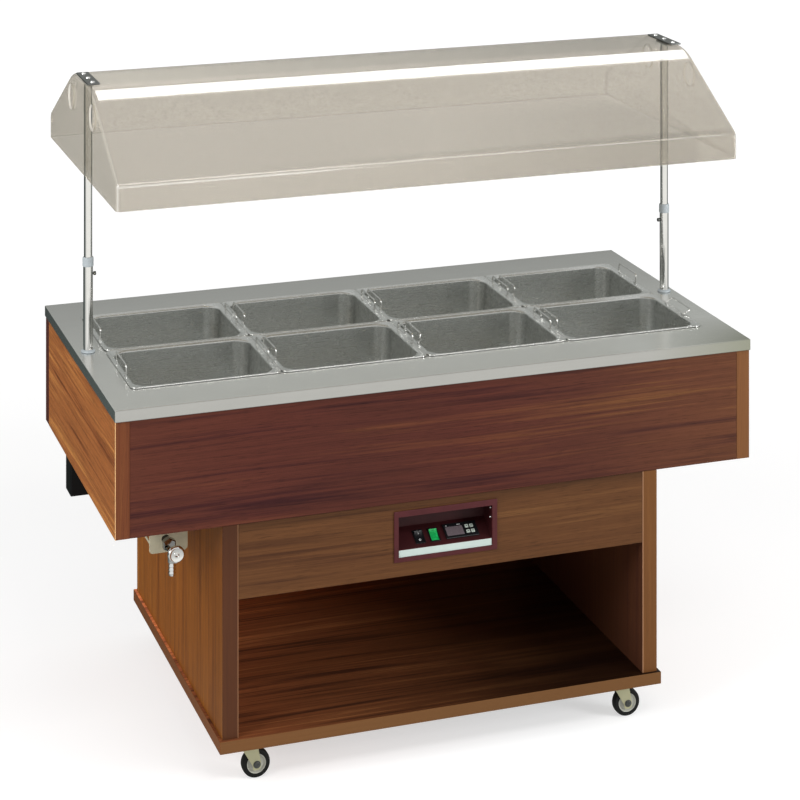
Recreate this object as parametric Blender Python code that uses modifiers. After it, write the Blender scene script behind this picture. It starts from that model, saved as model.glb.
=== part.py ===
# Steam table unit: a wooden island cabinet on casters with a heated well for
# eight half-size pans, a drain tap, a recessed control panel and a clear
# height-adjustable hood on two posts.
# Metres, +Z up. The front faces -Y and the left side lies towards -X.
# Everything hangs from one empty, so that the frame's origin is on the floor
# under the middle of the whole unit.
import bpy
import bmesh
import math
from mathutils import Matrix, Vector

# ---------------------------------------------------------------- dimensions
# Suffixes: _X, _Y half size or place; _YF, _YB front and back; _Z0, _Z1
# lower and upper; _T thickness; _R radius.
GAP = 0.0003                       # clearance between touching pieces
OVERCUT = 0.020                    # how far open-ended cutters run past a face
SIDES = (("left", -1.0), ("right", 1.0))

BASE_YF, BASE_YB = -0.386, 0.425   # base board
BASE_X = 0.493
BASE_Z0, BASE_Z1 = 0.080, 0.106
FRAME_SHIFT_Y = -(BASE_YF + BASE_YB) / 2.0

TOP_X, TOP_Y, TOP_Z = 0.710, 0.383, 0.805   # worktop half sizes and height
TOP_SHEET = 0.0012
RIM_SEAT = 0.0003                  # depth of the seat for the pans' rims
FOLD = 0.024                       # depth of the worktop's folded edge
UNDER_TOP_Z = TOP_Z - TOP_SHEET - GAP   # top of what stands under the sheet

BOX_X = 0.7085                     # upper wooden box
BOX_YF, BOX_YB = -0.3785, 0.3774
BOX_Z = 0.543                      # underside of the upper box
SIDE_T, FRONT_T, BACK_T = 0.030, 0.022, 0.038   # its aprons
BOX_INNER_X = BOX_X - SIDE_T - GAP
BOX_FLOOR_Z1 = BOX_Z + 0.0122
HANG_Z = BOX_Z - GAP               # top of what touches the box from below

CAB_X = 0.486                      # lower cabinet
CAB_YF, CAB_YB = BOX_YF, 0.4175
CAB_T = 0.034                      # side panel thickness
CAB_INNER_X = CAB_X - CAB_T - GAP
CAB_BACK_YF = BOX_YB - 0.018       # the back panel stands under the back apron
CAB_BACK_T = 0.016
HOUSING = 0.004                    # depth of the housings in the base board
FASCIA_Z = 0.389                   # lower edge of the fascia
FASCIA_YF = CAB_YF + 0.001
FASCIA_T = 0.018
CEILING_T = 0.015

WELL_X, WELL_Y = 0.642, 0.257      # worktop opening
TANK_X, TANK_Y = WELL_X + 0.004, WELL_Y + 0.004   # tank outside
TANK_Z = 0.6130                    # tank underside
TANK_SHEET = 0.0010
TANK_RIM = 0.012                   # how far the tank's rim stands out
LAGGING_X, LAGGING_Y = 0.640, 0.255

ELEMENT_R = 0.0040                 # heating element rod
ELEMENT_Y = 0.110                  # its two runs, either side of the middle
ELEMENT_Z = 0.630
ELEMENT_LEG_X, ELEMENT_LEG_Z0 = 0.600, 0.585
ELEMENT_BEND = 0.016
ELEMENT_LOOP_X = -0.420            # centre of the half-circle joining the runs

PAN_L, PAN_W = 0.325, 0.265        # half-size pan grid
PAN_BODY_X, PAN_BODY_Y = 0.150, 0.120
PAN_DEPTH = 0.100
PAN_RIM_CORNER = 0.016
PAN_SHEET = 0.0010
BAR_W, BAR_DEPTH, BAR_END_GAP = 0.014, 0.014, 0.0005   # cross bars

POST_X, POST_Y = 0.684, 0.014
TUBE_R, ROD_R = 0.0105, 0.0090     # lower tube and upper rod
POST_HOLE_R = TUBE_R + 0.0007
TUBE_Z0, TUBE_Z1 = 0.700, 1.011
ROD_Z0 = 0.850
LOCK_Z = 0.974

HOOD_X = 0.6985
HOOD_Y = 0.019                     # middle of the hood
HOOD_HALF = 0.362                  # half its depth along Y
HOOD_Z0, HOOD_LIP, HOOD_TOP = 1.194, 0.052, 1.395
HOOD_T = 0.004
HOOD_SLOPE = math.radians(28.6)
HOOD_BEND_R, HOOD_BEND_STEPS = 0.165, 5
HOLE_R, HOLE_Y, HOLE_Z = 0.028, 0.115, 1.3350   # end holes, HOLE_Y from middle

CASTER_X, CASTER_YF, CASTER_YB = 0.418, -0.334, 0.373
CASTER_TRAIL = 0.0135              # wheel centre from the swivel, towards +X
WHEEL_R = 0.030
FORK_TOP = 0.0706

PIPE_Y = -0.118                    # drain pipe's vertical run
PIPE_R, PIPE_WALL, PIPE_BEND = 0.0098, 0.0012, 0.022
PIPE_END_Y = -0.1478
TAP_X, TAP_Z = -0.551, 0.443
TAP_SEAT_Y = -0.1480               # back end of the tap's axis
TAP_LENGTH = 0.0860
NOZZLE_X, NOZZLE_Y = TAP_X - 0.0020, -0.2160
BRACKET_X0, BRACKET_X1 = -0.5864, -0.5034
BRACKET_Y, BRACKET_Z0 = -0.1505, 0.4148
BRACKET_CORNER, BRACKET_HALF_T = 0.008, 0.0010

# Control panel. The sloping plate starts at PLATE_ORIGIN, its lower edge, and
# places on it are (x, up the slope, out of the plate).
BEZEL_YB = FASCIA_YF - GAP         # back face of the bezel's frame
PLATE_ORIGIN = Vector((0.0, -0.3765, 0.4445))
PLATE_RUN, PLATE_RISE = 0.0510, 0.0282
PLATE_YB = PLATE_ORIGIN.y + PLATE_RUN
PLATE_ANGLE = math.atan2(PLATE_RISE, PLATE_RUN)
ROCKER_W, ROCKER_H, ROCKER_UP = 0.0170, 0.0290, 0.0260
ROCKER_TIP = math.radians(9.0)
ROCKER_PIVOT = -0.0030             # pivot, below the plate
THERMOSTAT_X, THERMOSTAT_UP = 0.0415, 0.0285
THERMOSTAT_W, THERMOSTAT_H = 0.0740, 0.0380
THERMOSTAT_BODY_W, THERMOSTAT_BODY_H = 0.0680, 0.0300
KEY_SIZE = 0.0080
KEY_COLUMNS, KEY_ROWS = (0.0560, 0.0667), (0.0350, 0.0215)

# ---------------------------------------------------------------- scene
for old in list(bpy.data.objects):
    bpy.data.objects.remove(old, do_unlink=True)

PARTS = bpy.data.collections.new("steam_table_unit")
CUTTERS = bpy.data.collections.new("cutters")
bpy.context.scene.collection.children.link(PARTS)
bpy.context.scene.collection.children.link(CUTTERS)

ROOT = bpy.data.objects.new("unit_origin", None)
ROOT.location = (0.0, FRAME_SHIFT_Y, 0.0)
PARTS.objects.link(ROOT)


# ---------------------------------------------------------------- materials
def material(name, colour, roughness, metallic=0.0, alpha=1.0):
    mat = bpy.data.materials.new(name)
    mat.use_nodes = True
    inputs = mat.node_tree.nodes["Principled BSDF"].inputs
    inputs["Base Color"].default_value = (*colour, 1.0)
    inputs["Roughness"].default_value = roughness
    inputs["Metallic"].default_value = metallic
    inputs["Alpha"].default_value = alpha
    return mat


WOOD = material("walnut_laminate", colour=(0.26, 0.10, 0.045), roughness=0.45)
WOOD_DARK = material("walnut_laminate_dark", colour=(0.14, 0.055, 0.035), roughness=0.45)
STEEL = material("brushed_steel", colour=(0.55, 0.56, 0.54), roughness=0.30, metallic=1.0)
CHROME = material("chrome", colour=(0.75, 0.75, 0.75), roughness=0.08, metallic=1.0)
ZINC = material("zinc_plate", colour=(0.62, 0.60, 0.48), roughness=0.35, metallic=1.0)
FOAM = material("glass_wool", colour=(0.75, 0.66, 0.35), roughness=0.95)
SHEATH = material("element_sheath", colour=(0.30, 0.29, 0.27), roughness=0.45, metallic=1.0)
COPPER = material("copper_pipe", colour=(0.60, 0.32, 0.18), roughness=0.35, metallic=1.0)
BLACK = material("black_plastic", colour=(0.015, 0.016, 0.017), roughness=0.40)
MAROON = material("maroon_plastic", colour=(0.085, 0.022, 0.024), roughness=0.38)
GREEN = material("green_lens", colour=(0.02, 0.42, 0.12), roughness=0.25)
KEY = material("key_rubber", colour=(0.62, 0.66, 0.62), roughness=0.55)
ACRYLIC = material("smoked_acrylic", colour=(0.62, 0.58, 0.50), roughness=0.06, alpha=0.45)
RUBBER = material("caster_tyre", colour=(0.02, 0.02, 0.02), roughness=0.55)


# ---------------------------------------------------------------- objects
def piece(name, mesh, mat=None, location=(0, 0, 0), rotation=(0, 0, 0), collection=PARTS):
    ob = bpy.data.objects.new(name, mesh)
    ob.location = location
    ob.rotation_euler = rotation
    if mat is not None:
        mesh.materials.append(mat)
    collection.objects.link(ob)
    ob.parent = ROOT
    return ob


def cutter(name, mesh, location=(0, 0, 0), rotation=(0, 0, 0)):
    """A hidden helper that a boolean cuts away or joins on."""
    ob = piece(name, mesh, None, location, rotation, CUTTERS)
    ob.hide_render = True
    ob.display_type = "WIRE"
    return ob


# ---------------------------------------------------------------- modifiers
def bevel(ob, width, segments):
    mod = ob.modifiers.new("Bevel", "BEVEL")
    mod.width = width
    mod.segments = segments
    mod.limit_method = "ANGLE"
    mod.angle_limit = math.radians(30.0)
    mod.use_clamp_overlap = True


def solidify(ob, thickness, offset):
    mod = ob.modifiers.new("Solidify", "SOLIDIFY")
    mod.thickness = thickness
    mod.offset = offset
    mod.use_even_offset = True


def cut(ob, other, operation="DIFFERENCE"):
    mod = ob.modifiers.new("Boolean", "BOOLEAN")
    mod.operation = operation
    mod.solver = "EXACT"
    mod.object = other


def join(ob, other):
    cut(ob, other, "UNION")


# ---------------------------------------------------------------- meshes
def mesh_of(name, bm):
    mesh = bpy.data.meshes.new(name)
    bm.to_mesh(mesh)
    bm.free()
    return mesh


def box_mesh(name, size):
    bm = bmesh.new()
    bmesh.ops.create_cube(bm, size=1.0)
    bmesh.ops.scale(bm, vec=size, verts=bm.verts)
    return mesh_of(name, bm)


def size_and_middle(low, high):
    size = [b - a for a, b in zip(low, high)]
    middle = [(b + a) / 2.0 for a, b in zip(low, high)]
    return size, middle


def box(name, low, high, mat, edge=0.0, segments=1):
    """A sheet or board between two corners, its edges bevelled if asked."""
    size, middle = size_and_middle(low, high)
    ob = piece(name, box_mesh(name, size), mat, middle)
    if edge:
        bevel(ob, edge, segments)
    return ob


def box_cutter(name, low, high):
    size, middle = size_and_middle(low, high)
    return cutter(name, box_mesh(name, size), middle)


def rod_cutter(name, middle, radius, length, axis="Z", segments=20):
    bm = bmesh.new()
    bmesh.ops.create_cone(bm, cap_ends=True, segments=segments, radius1=radius,
                          radius2=radius, depth=length)
    if axis != "Z":
        turn_about = {"X": "Y", "Y": "X"}[axis]
        bmesh.ops.rotate(bm, verts=bm.verts, matrix=Matrix.Rotation(math.pi / 2, 3, turn_about))
    return cutter(name, mesh_of(name, bm), middle)


# rotation that points a turned profile's height along the axis
TURNS = {
    "Z": (0.0, 0.0, 0.0),
    "-Y": (math.pi / 2, 0.0, 0.0),
    "X": (0.0, math.pi / 2, 0.0),
    "-X": (0.0, -math.pi / 2, 0.0),
}


def turned(name, profile, mat, location, axis="Z", steps=20):
    """A profile of (radius, height) points swept round the axis.

    A profile that ends where it began makes a ring or a tube, one that starts
    and ends at radius 0 a solid. Without a material it is a helper.
    """
    closed = profile[0] == profile[-1]
    points = profile[:-1] if closed else profile
    bm = bmesh.new()
    verts = [bm.verts.new((radius, 0.0, height)) for radius, height in points]
    for start, end in zip(verts, verts[1:]):
        bm.edges.new((start, end))
    if closed:
        bm.edges.new((verts[-1], verts[0]))
    mesh = mesh_of(name, bm)
    if mat is None:
        ob = cutter(name, mesh, location, TURNS[axis])
    else:
        ob = piece(name, mesh, mat, location, TURNS[axis])
    mod = ob.modifiers.new("Screw", "SCREW")
    mod.axis = "Z"
    mod.angle = 2.0 * math.pi
    mod.steps = steps
    mod.render_steps = steps
    mod.use_merge_vertices = True
    mod.merge_threshold = 0.00005
    mod.use_smooth_shade = True
    return ob


def extruded(points, offset):
    """A bmesh solid: a flat outline of 3D points drawn out by an offset."""
    bm = bmesh.new()
    face = bm.faces.new([bm.verts.new(point) for point in points])
    new = bmesh.ops.extrude_face_region(bm, geom=[face])["geom"]
    moved = [item for item in new if isinstance(item, bmesh.types.BMVert)]
    bmesh.ops.translate(bm, verts=moved, vec=offset)
    bmesh.ops.recalc_face_normals(bm, faces=bm.faces)
    return bm


def prism_mesh(name, outline, x0, x1):
    """A (y, z) outline drawn out along X."""
    return mesh_of(name, extruded([(x0, y, z) for y, z in outline], (x1 - x0, 0.0, 0.0)))


def curve_mesh(name, points, cyclic, **settings):
    """The mesh of a curve of straight steps with the given curve settings."""
    curve = bpy.data.curves.new(name, "CURVE")
    curve.render_resolution_u = 0
    for key, value in settings.items():
        setattr(curve, key, value)
    spline = curve.splines.new("POLY")
    spline.points.add(len(points) - 1)
    for target, point in zip(spline.points, points):
        target.co = (*point, 1.0)
    spline.use_cyclic_u = cyclic
    temporary = bpy.data.objects.new(name + "_path", curve)
    PARTS.objects.link(temporary)
    depsgraph = bpy.context.evaluated_depsgraph_get()
    mesh = bpy.data.meshes.new_from_object(temporary.evaluated_get(depsgraph))
    bpy.data.objects.remove(temporary, do_unlink=True)
    bm = bmesh.new()
    bm.from_mesh(mesh)
    bmesh.ops.remove_doubles(bm, verts=bm.verts, dist=0.00002)
    bmesh.ops.recalc_face_normals(bm, faces=bm.faces)
    bm.to_mesh(mesh)
    bm.free()
    return mesh


def round_bar(name, points, radius, mat, wall=None):
    """A rod, or a tube when a wall is given, along a path of straight steps."""
    mesh = curve_mesh(name, points, cyclic=False, dimensions="3D", bevel_depth=radius,
                      bevel_resolution=2, use_fill_caps=wall is None)
    ob = piece(name, mesh, mat)
    if wall is not None:
        solidify(ob, wall, offset=-1.0)
    mesh.shade_smooth()
    mesh.set_sharp_from_angle(angle=math.radians(40.0))


def arc(centre_x, centre_y, radius, start, end, steps):
    """Points on an arc, from start to end in degrees."""
    angles = [math.radians(start + (end - start) * i / steps) for i in range(steps + 1)]
    return [(centre_x + radius * math.cos(a), centre_y + radius * math.sin(a)) for a in angles]


def side_span(sign, outer, thickness):
    """Low and high x of a board whose outer face lies at sign * outer."""
    return sorted((sign * outer, sign * (outer - thickness)))


# ---------------------------------------------------------------- cabinet
def build_lower_cabinet():
    base = box("base_board", (-BASE_X, BASE_YF, BASE_Z0), (BASE_X, BASE_YB, BASE_Z1),
               WOOD_DARK, 0.0012, 2)

    # The side and back panels stand in housings cut into the base board.
    house_z = BASE_Z1 - HOUSING
    foot_z = house_z + GAP
    for side, sign in SIDES:
        x0, x1 = side_span(sign, CAB_X, CAB_T)
        box(side + "_side_panel", (x0, CAB_YF, foot_z), (x1, CAB_YB, HANG_Z), WOOD, 0.0010)
        cut(base, box_cutter("cut_base_" + side, (x0 - GAP, CAB_YF - GAP, house_z),
                             (x1 + GAP, CAB_YB + GAP, BASE_Z1 + OVERCUT)))

    back_yb = CAB_BACK_YF + CAB_BACK_T
    box("cabinet_back_panel", (-CAB_INNER_X, CAB_BACK_YF, foot_z),
        (CAB_INNER_X, back_yb, HANG_Z), WOOD_DARK)
    housing_x = CAB_INNER_X + 0.008     # runs into the side panels' housings
    cut(base, box_cutter("cut_base_back", (-housing_x, CAB_BACK_YF - GAP, house_z),
                         (housing_x, back_yb + GAP, BASE_Z1 + OVERCUT)))
    box("compartment_ceiling", (-CAB_INNER_X, FASCIA_YF + FASCIA_T + GAP, FASCIA_Z),
        (CAB_INNER_X, CAB_BACK_YF - GAP, FASCIA_Z + CEILING_T), WOOD_DARK)

    fascia = box("fascia_panel", (-CAB_INNER_X, FASCIA_YF, FASCIA_Z),
                 (CAB_INNER_X, FASCIA_YF + FASCIA_T, HANG_Z), WOOD_DARK)
    # opening for the control panel
    cut(fascia, box_cutter("cut_fascia", (-0.1125, FASCIA_YF - 0.01, 0.4235),
                           (0.1090, FASCIA_YF + 0.04, 0.5200)))


def build_upper_box():
    inner_yb = BOX_YB - BACK_T
    box("front_apron", (-BOX_INNER_X, BOX_YF, BOX_Z),
        (BOX_INNER_X, BOX_YF + FRONT_T, UNDER_TOP_Z), WOOD_DARK)
    box("back_apron", (-BOX_X, inner_yb, BOX_Z), (BOX_X, BOX_YB, UNDER_TOP_Z), WOOD_DARK)
    for side, sign in SIDES:
        x0, x1 = side_span(sign, BOX_X, SIDE_T)
        apron = box(side + "_apron", (x0, BOX_YF, BOX_Z), (x1, inner_yb - GAP, UNDER_TOP_Z), WOOD)
        # a relief bored down into the board, open to its inner face, for the post
        cut(apron, rod_cutter("cut_%s_apron" % side, (sign * POST_X, POST_Y, 0.751),
                              POST_HOLE_R, 0.122))

    floor = box("box_floor", (-BOX_INNER_X, BOX_YF + FRONT_T + GAP, BOX_Z + 0.0002),
                (BOX_INNER_X, inner_yb - GAP, BOX_FLOOR_Z1), WOOD_DARK)
    cut(floor, rod_cutter("cut_floor_drain", (TAP_X, PIPE_Y, BOX_Z), 0.0110, 0.06))


def build_worktop():
    top = box("worktop", (-TOP_X, -TOP_Y, TOP_Z - FOLD), (TOP_X, TOP_Y, TOP_Z), STEEL, 0.0015, 2)
    under_x, under_y = TOP_X - TOP_SHEET, TOP_Y - TOP_SHEET
    cut(top, box_cutter("cut_top_under", (-under_x, -under_y, TOP_Z - 0.06),
                        (under_x, under_y, TOP_Z - TOP_SHEET)))
    cut(top, box_cutter("cut_top_well", (-WELL_X, -WELL_Y, TOP_Z - OVERCUT),
                        (WELL_X, WELL_Y, TOP_Z + OVERCUT)))
    # a shallow pressed seat round the opening takes the pans' rims
    seat_x, seat_y = 2 * PAN_L + 0.0010, PAN_W + 0.0010
    cut(top, box_cutter("cut_top_seat", (-seat_x, -seat_y, TOP_Z - RIM_SEAT),
                        (seat_x, seat_y, TOP_Z + OVERCUT)))
    for side, sign in SIDES:
        cut(top, rod_cutter("cut_top_post_" + side, (sign * POST_X, POST_Y, TOP_Z),
                            POST_HOLE_R, 2 * OVERCUT))


# ---------------------------------------------------------------- well
def build_tank_and_insulation():
    # An open tray with an outward rim that hangs under the worktop.
    tank = box("well_tank", (-TANK_X, -TANK_Y, TANK_Z), (TANK_X, TANK_Y, UNDER_TOP_Z), STEEL)
    rim_size = (2 * TANK_X + 2 * TANK_RIM, 2 * TANK_Y + 2 * TANK_RIM, TANK_SHEET)
    join(tank, cutter("join_tank_rim", box_mesh("join_tank_rim", rim_size),
                      (0.0, 0.0, UNDER_TOP_Z - TANK_SHEET / 2)))
    inside_x, inside_y = TANK_X - TANK_SHEET, TANK_Y - TANK_SHEET
    cut(tank, box_cutter("cut_tank_inside", (-inside_x, -inside_y, TANK_Z + TANK_SHEET),
                         (inside_x, inside_y, UNDER_TOP_Z + OVERCUT)))

    insulation = box("well_insulation", (-LAGGING_X, -LAGGING_Y, BOX_FLOOR_Z1 + GAP),
                     (LAGGING_X, LAGGING_Y, TANK_Z - GAP), FOAM)
    # holes through both for the drain and the element's two legs
    holes = [rod_cutter("cut_drain", (TAP_X, PIPE_Y, 0.590), 0.0102, 0.080)]
    for side, y in (("front", -ELEMENT_Y), ("back", ELEMENT_Y)):
        holes.append(rod_cutter("cut_element_" + side, (ELEMENT_LEG_X, y, 0.600),
                                ELEMENT_R + 0.0008, 0.048))
    for hole in holes:
        cut(tank, hole)
        cut(insulation, hole)


def build_heating_element():
    """A hairpin: up a leg, along the front, round the left end and back."""
    bend = arc(ELEMENT_LEG_X - ELEMENT_BEND, ELEMENT_Z - ELEMENT_BEND, ELEMENT_BEND, 0, 90, 4)
    leg = [(ELEMENT_LEG_X, ELEMENT_LEG_Z0)] + bend
    path = [(x, -ELEMENT_Y, z) for x, z in leg]
    path += [(x, y, ELEMENT_Z) for x, y in arc(ELEMENT_LOOP_X, 0.0, ELEMENT_Y, 270, 90, 12)]
    path += [(x, ELEMENT_Y, z) for x, z in reversed(leg)]
    round_bar("heating_element", path, ELEMENT_R, SHEATH)


def build_crossbars():
    end_y = WELL_Y - BAR_END_GAP
    for i, x in enumerate((-PAN_L, 0.0, PAN_L)):
        box("crossbar_%d" % (i + 1), (x - BAR_W / 2, -end_y, TOP_Z - BAR_DEPTH),
            (x + BAR_W / 2, end_y, TOP_Z), STEEL, 0.0010)


# ---------------------------------------------------------------- pans
# Rounded rectangles from the rim's outer edge inwards:
# half x, half y, corner radius, height
PAN_RINGS = [
    (PAN_L / 2 - GAP, PAN_W / 2 - GAP, PAN_RIM_CORNER, 0.0),
    (PAN_BODY_X + 0.003, PAN_BODY_Y + 0.003, 0.036, 0.0),
    (PAN_BODY_X, PAN_BODY_Y, 0.034, -0.004),
    (PAN_BODY_X - 0.006, PAN_BODY_Y - 0.006, 0.028, -PAN_DEPTH + 0.012),
    (PAN_BODY_X - 0.015, PAN_BODY_Y - 0.015, 0.020, -PAN_DEPTH),
]


def draw_in(bm, face, old_ring, new_ring):
    """Extrude the face from one ring of the pan to the next."""
    old_x, old_y, old_corner, _ = old_ring
    half_x, half_y, corner, height = new_ring
    new = bmesh.ops.extrude_face_region(bm, geom=[face])["geom"]
    new_face = [item for item in new if isinstance(item, bmesh.types.BMFace)][0]
    bmesh.ops.delete(bm, geom=[face], context="FACES_ONLY")
    scale = corner / old_corner
    for vert in new_face.verts:
        # how far the point lies into the corner's curve, each way
        into_x = max(abs(vert.co.x) - (old_x - old_corner), 0.0)
        into_y = max(abs(vert.co.y) - (old_y - old_corner), 0.0)
        vert.co.x = math.copysign(half_x - corner + into_x * scale, vert.co.x)
        vert.co.y = math.copysign(half_y - corner + into_y * scale, vert.co.y)
        vert.co.z = height
    return new_face


def pan_mesh():
    """One rounded-rectangle sheet: rim, throat, tapered wall and floor."""
    bm = bmesh.new()
    bmesh.ops.create_grid(bm, x_segments=1, y_segments=1, size=0.5)
    bmesh.ops.scale(bm, vec=(PAN_L - 2 * GAP, PAN_W - 2 * GAP, 1.0), verts=bm.verts)
    bmesh.ops.bevel(bm, geom=list(bm.verts), offset=PAN_RIM_CORNER, segments=3, profile=0.5,
                    affect="VERTICES")
    face = list(bm.faces)[0]
    for old_ring, new_ring in zip(PAN_RINGS, PAN_RINGS[1:]):
        face = draw_in(bm, face, old_ring, new_ring)
    bmesh.ops.recalc_face_normals(bm, faces=bm.faces)
    if face.normal.z < 0:
        bmesh.ops.reverse_faces(bm, faces=bm.faces)
    mesh = mesh_of("half_size_pan", bm)
    mesh.materials.append(STEEL)
    return mesh


def build_pans():
    mesh = pan_mesh()
    for row, y in (("back", PAN_W / 2), ("front", -PAN_W / 2)):
        for i in range(4):
            pan = piece("pan_%s_%d" % (row, i + 1), mesh,
                        location=((i - 1.5) * PAN_L, y, TOP_Z + GAP))
            solidify(pan, PAN_SHEET, offset=1.0)


# ---------------------------------------------------------------- drain
def build_drain_pipe():
    bend_z = TAP_Z + PIPE_BEND
    bend = arc(PIPE_Y - PIPE_BEND, bend_z, PIPE_BEND, 0, -90, 5)
    path = [(TAP_X, PIPE_Y, TANK_Z + 0.0030), (TAP_X, PIPE_Y, bend_z)]
    path += [(TAP_X, y, z) for y, z in bend[1:]]
    path += [(TAP_X, PIPE_END_Y, TAP_Z)]
    round_bar("drain_pipe", path, PIPE_R, COPPER, wall=PIPE_WALL)


def build_tap_bracket():
    """A hanging plate with rounded lower corners and a stiffening strip."""
    low = BRACKET_Z0 + BRACKET_CORNER
    outline = [(BRACKET_X1, HANG_Z), (BRACKET_X0, HANG_Z)]
    outline += arc(BRACKET_X0 + BRACKET_CORNER, low, BRACKET_CORNER, 180, 270, 4)
    outline += arc(BRACKET_X1 - BRACKET_CORNER, low, BRACKET_CORNER, 270, 360, 4)
    mesh = curve_mesh("tap_bracket", [(x, z, 0.0) for x, z in outline], cyclic=True,
                      dimensions="2D", fill_mode="BOTH", extrude=BRACKET_HALF_T)
    # stand the flat outline up and move it to its place
    mesh.transform(Matrix.Translation((0, BRACKET_Y, 0)) @ Matrix.Rotation(math.pi / 2, 4, "X"))
    bracket = piece("tap_bracket", mesh, ZINC)
    strip = box_mesh("join_bracket_strip", (0.0016, 0.0440, 0.0060))
    join(bracket, cutter("join_bracket_strip", strip,
                         (BRACKET_X0 + 0.0011, BRACKET_Y + 0.0215, 0.4385)))
    cut(bracket, rod_cutter("cut_bracket", (TAP_X, BRACKET_Y, TAP_Z), 0.0092, 0.02, "Y"))


# (radius, distance forwards of the seat)
TAP_PROFILE = [
    (0.0, TAP_LENGTH), (0.0060, TAP_LENGTH), (0.0060, 0.0800), (0.0125, 0.0800),
    (0.0145, 0.0770), (0.0145, 0.0560), (0.0110, 0.0520), (0.0110, 0.0200),
    (0.0090, 0.0200), (0.0088, 0.0004), (0.0, 0.0004),
]
# (radius, distance forwards of the tap's front end)
KNOB_PROFILE = [
    (0.0, 0.0075), (0.0040, 0.0075), (0.0040, 0.0110), (0.0162, 0.0110),
    (0.0185, 0.0092), (0.0185, 0.0020), (0.0168, 0.0), (0.0, 0.0),
]


def nozzle_profile():
    """(radius, height) of the hose nozzle, with three ribs down its stem."""
    rib_top, rib_pitch = -0.0230, 0.0070
    profile = [(0.0, 0.0), (0.0086, 0.0), (0.0086, rib_top)]
    for _ in range(3):
        profile += [(0.0066, rib_top - 0.0010), (0.0080, rib_top - 0.0062)]
        rib_top -= rib_pitch
    end = rib_top - 0.0030
    return profile + [(0.0064, rib_top - 0.0010), (0.0064, end), (0.0, end)]


def build_tap():
    """A valve body along Y with a hexagon, a nozzle below and a front knob."""
    tap = turned("tap_body", TAP_PROFILE, CHROME, (TAP_X, TAP_SEAT_Y, TAP_Z), "-Y", 20)
    join(tap, rod_cutter("join_tap_hex", (TAP_X, -0.1800, TAP_Z), 0.0150, 0.0140, "Y", 6))
    join(tap, turned("join_tap_nozzle", nozzle_profile(), None,
                     (NOZZLE_X, NOZZLE_Y, TAP_Z - 0.0060), "Z", 16))
    cut(tap, rod_cutter("cut_nozzle", (NOZZLE_X, NOZZLE_Y, TAP_Z - 0.050),
                        0.0038, 0.040, "Z", 12))
    turned("tap_knob", KNOB_PROFILE, CHROME,
           (TAP_X + 0.0015, TAP_SEAT_Y - TAP_LENGTH - GAP, TAP_Z), "-Y", 24)


def build_terminal_box():
    box("terminal_box", (-0.6820, 0.2200, 0.4170), (-0.5000, 0.2760, HANG_Z), BLACK, 0.0030, 2)


# ---------------------------------------------------------------- control panel
# (y, z) outlines of the tub behind the bezel's frame and of the hollow in it
TUB_OUTLINE = [
    (BEZEL_YB - 0.0020, 0.4255), (BEZEL_YB + 0.0060, 0.4255), (BEZEL_YB + 0.0060, 0.4425),
    (PLATE_YB + 0.0030, 0.4700), (PLATE_YB + 0.0030, 0.5170), (BEZEL_YB - 0.0020, 0.5170),
]
CAVITY_OUTLINE = [
    (-0.4000, 0.4286), (BEZEL_YB - 0.0004, 0.4286), (BEZEL_YB - 0.0004, 0.4442),
    (-0.3765, 0.4445), (PLATE_YB, 0.4445 + PLATE_RISE),
    (PLATE_YB, 0.5140), (-0.4000, 0.5140),
]
# (up the slope, out of the plate) from the pivot, before tipping: a shallow V
ROCKER_OUTLINE = [
    (-0.0138, 0.0034), (-0.0120, -0.0022), (0.0120, -0.0022), (0.0138, 0.0034),
    (0.0132, 0.0060), (0.0, 0.0044), (-0.0132, 0.0060),
]


def on_plate(x, up, out):
    return PLATE_ORIGIN + Matrix.Rotation(PLATE_ANGLE, 3, "X") @ Vector((x, up, out))


def plate_box(name, x, up, width, height, out0, out1, mat, edge):
    """A bevelled box on the plate, with its origin on the plate's surface."""
    mesh = box_mesh(name, (width, height, out1 - out0))
    mesh.transform(Matrix.Translation((0, 0, (out0 + out1) / 2)))
    ob = piece(name, mesh, mat, on_plate(x, up, 0.0), (PLATE_ANGLE, 0.0, 0.0))
    bevel(ob, edge, 1)
    return ob


def plate_cutter(name, x, up, width, height, out0, out1):
    mesh = box_mesh(name, (width, height, out1 - out0))
    return cutter(name, mesh, on_plate(x, up, (out0 + out1) / 2), (PLATE_ANGLE, 0.0, 0.0))


def build_bezel():
    """A frame on the fascia and a tub behind it, with the sloping plate."""
    bezel = box("control_bezel", (-0.1168, BEZEL_YB - 0.0030, 0.4195),
                (0.1143, BEZEL_YB, 0.5265), MAROON, 0.0012, 2)
    join(bezel, cutter("join_bezel_tub",
                       prism_mesh("join_bezel_tub", TUB_OUTLINE, -0.1092, 0.1058)))
    cut(bezel, cutter("cut_bezel_cavity",
                      prism_mesh("cut_bezel_cavity", CAVITY_OUTLINE, -0.1066, 0.1029)))
    return bezel


def build_rocker(bezel, name, x, mat):
    """A switch tipped so that its upper end stands out."""
    cut(bezel, plate_cutter("cut_" + name, x, ROCKER_UP, ROCKER_W + 2 * 0.0005,
                            ROCKER_H + 2 * 0.0012, -0.012, 0.004))
    cos_tip, sin_tip = math.cos(ROCKER_TIP), math.sin(ROCKER_TIP)
    outline = [(up * cos_tip - out * sin_tip, up * sin_tip + out * cos_tip)
               for up, out in ROCKER_OUTLINE]
    piece(name, prism_mesh(name, outline, -ROCKER_W / 2, ROCKER_W / 2), mat,
          on_plate(x, ROCKER_UP, ROCKER_PIVOT), (PLATE_ANGLE, 0.0, 0.0))


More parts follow.
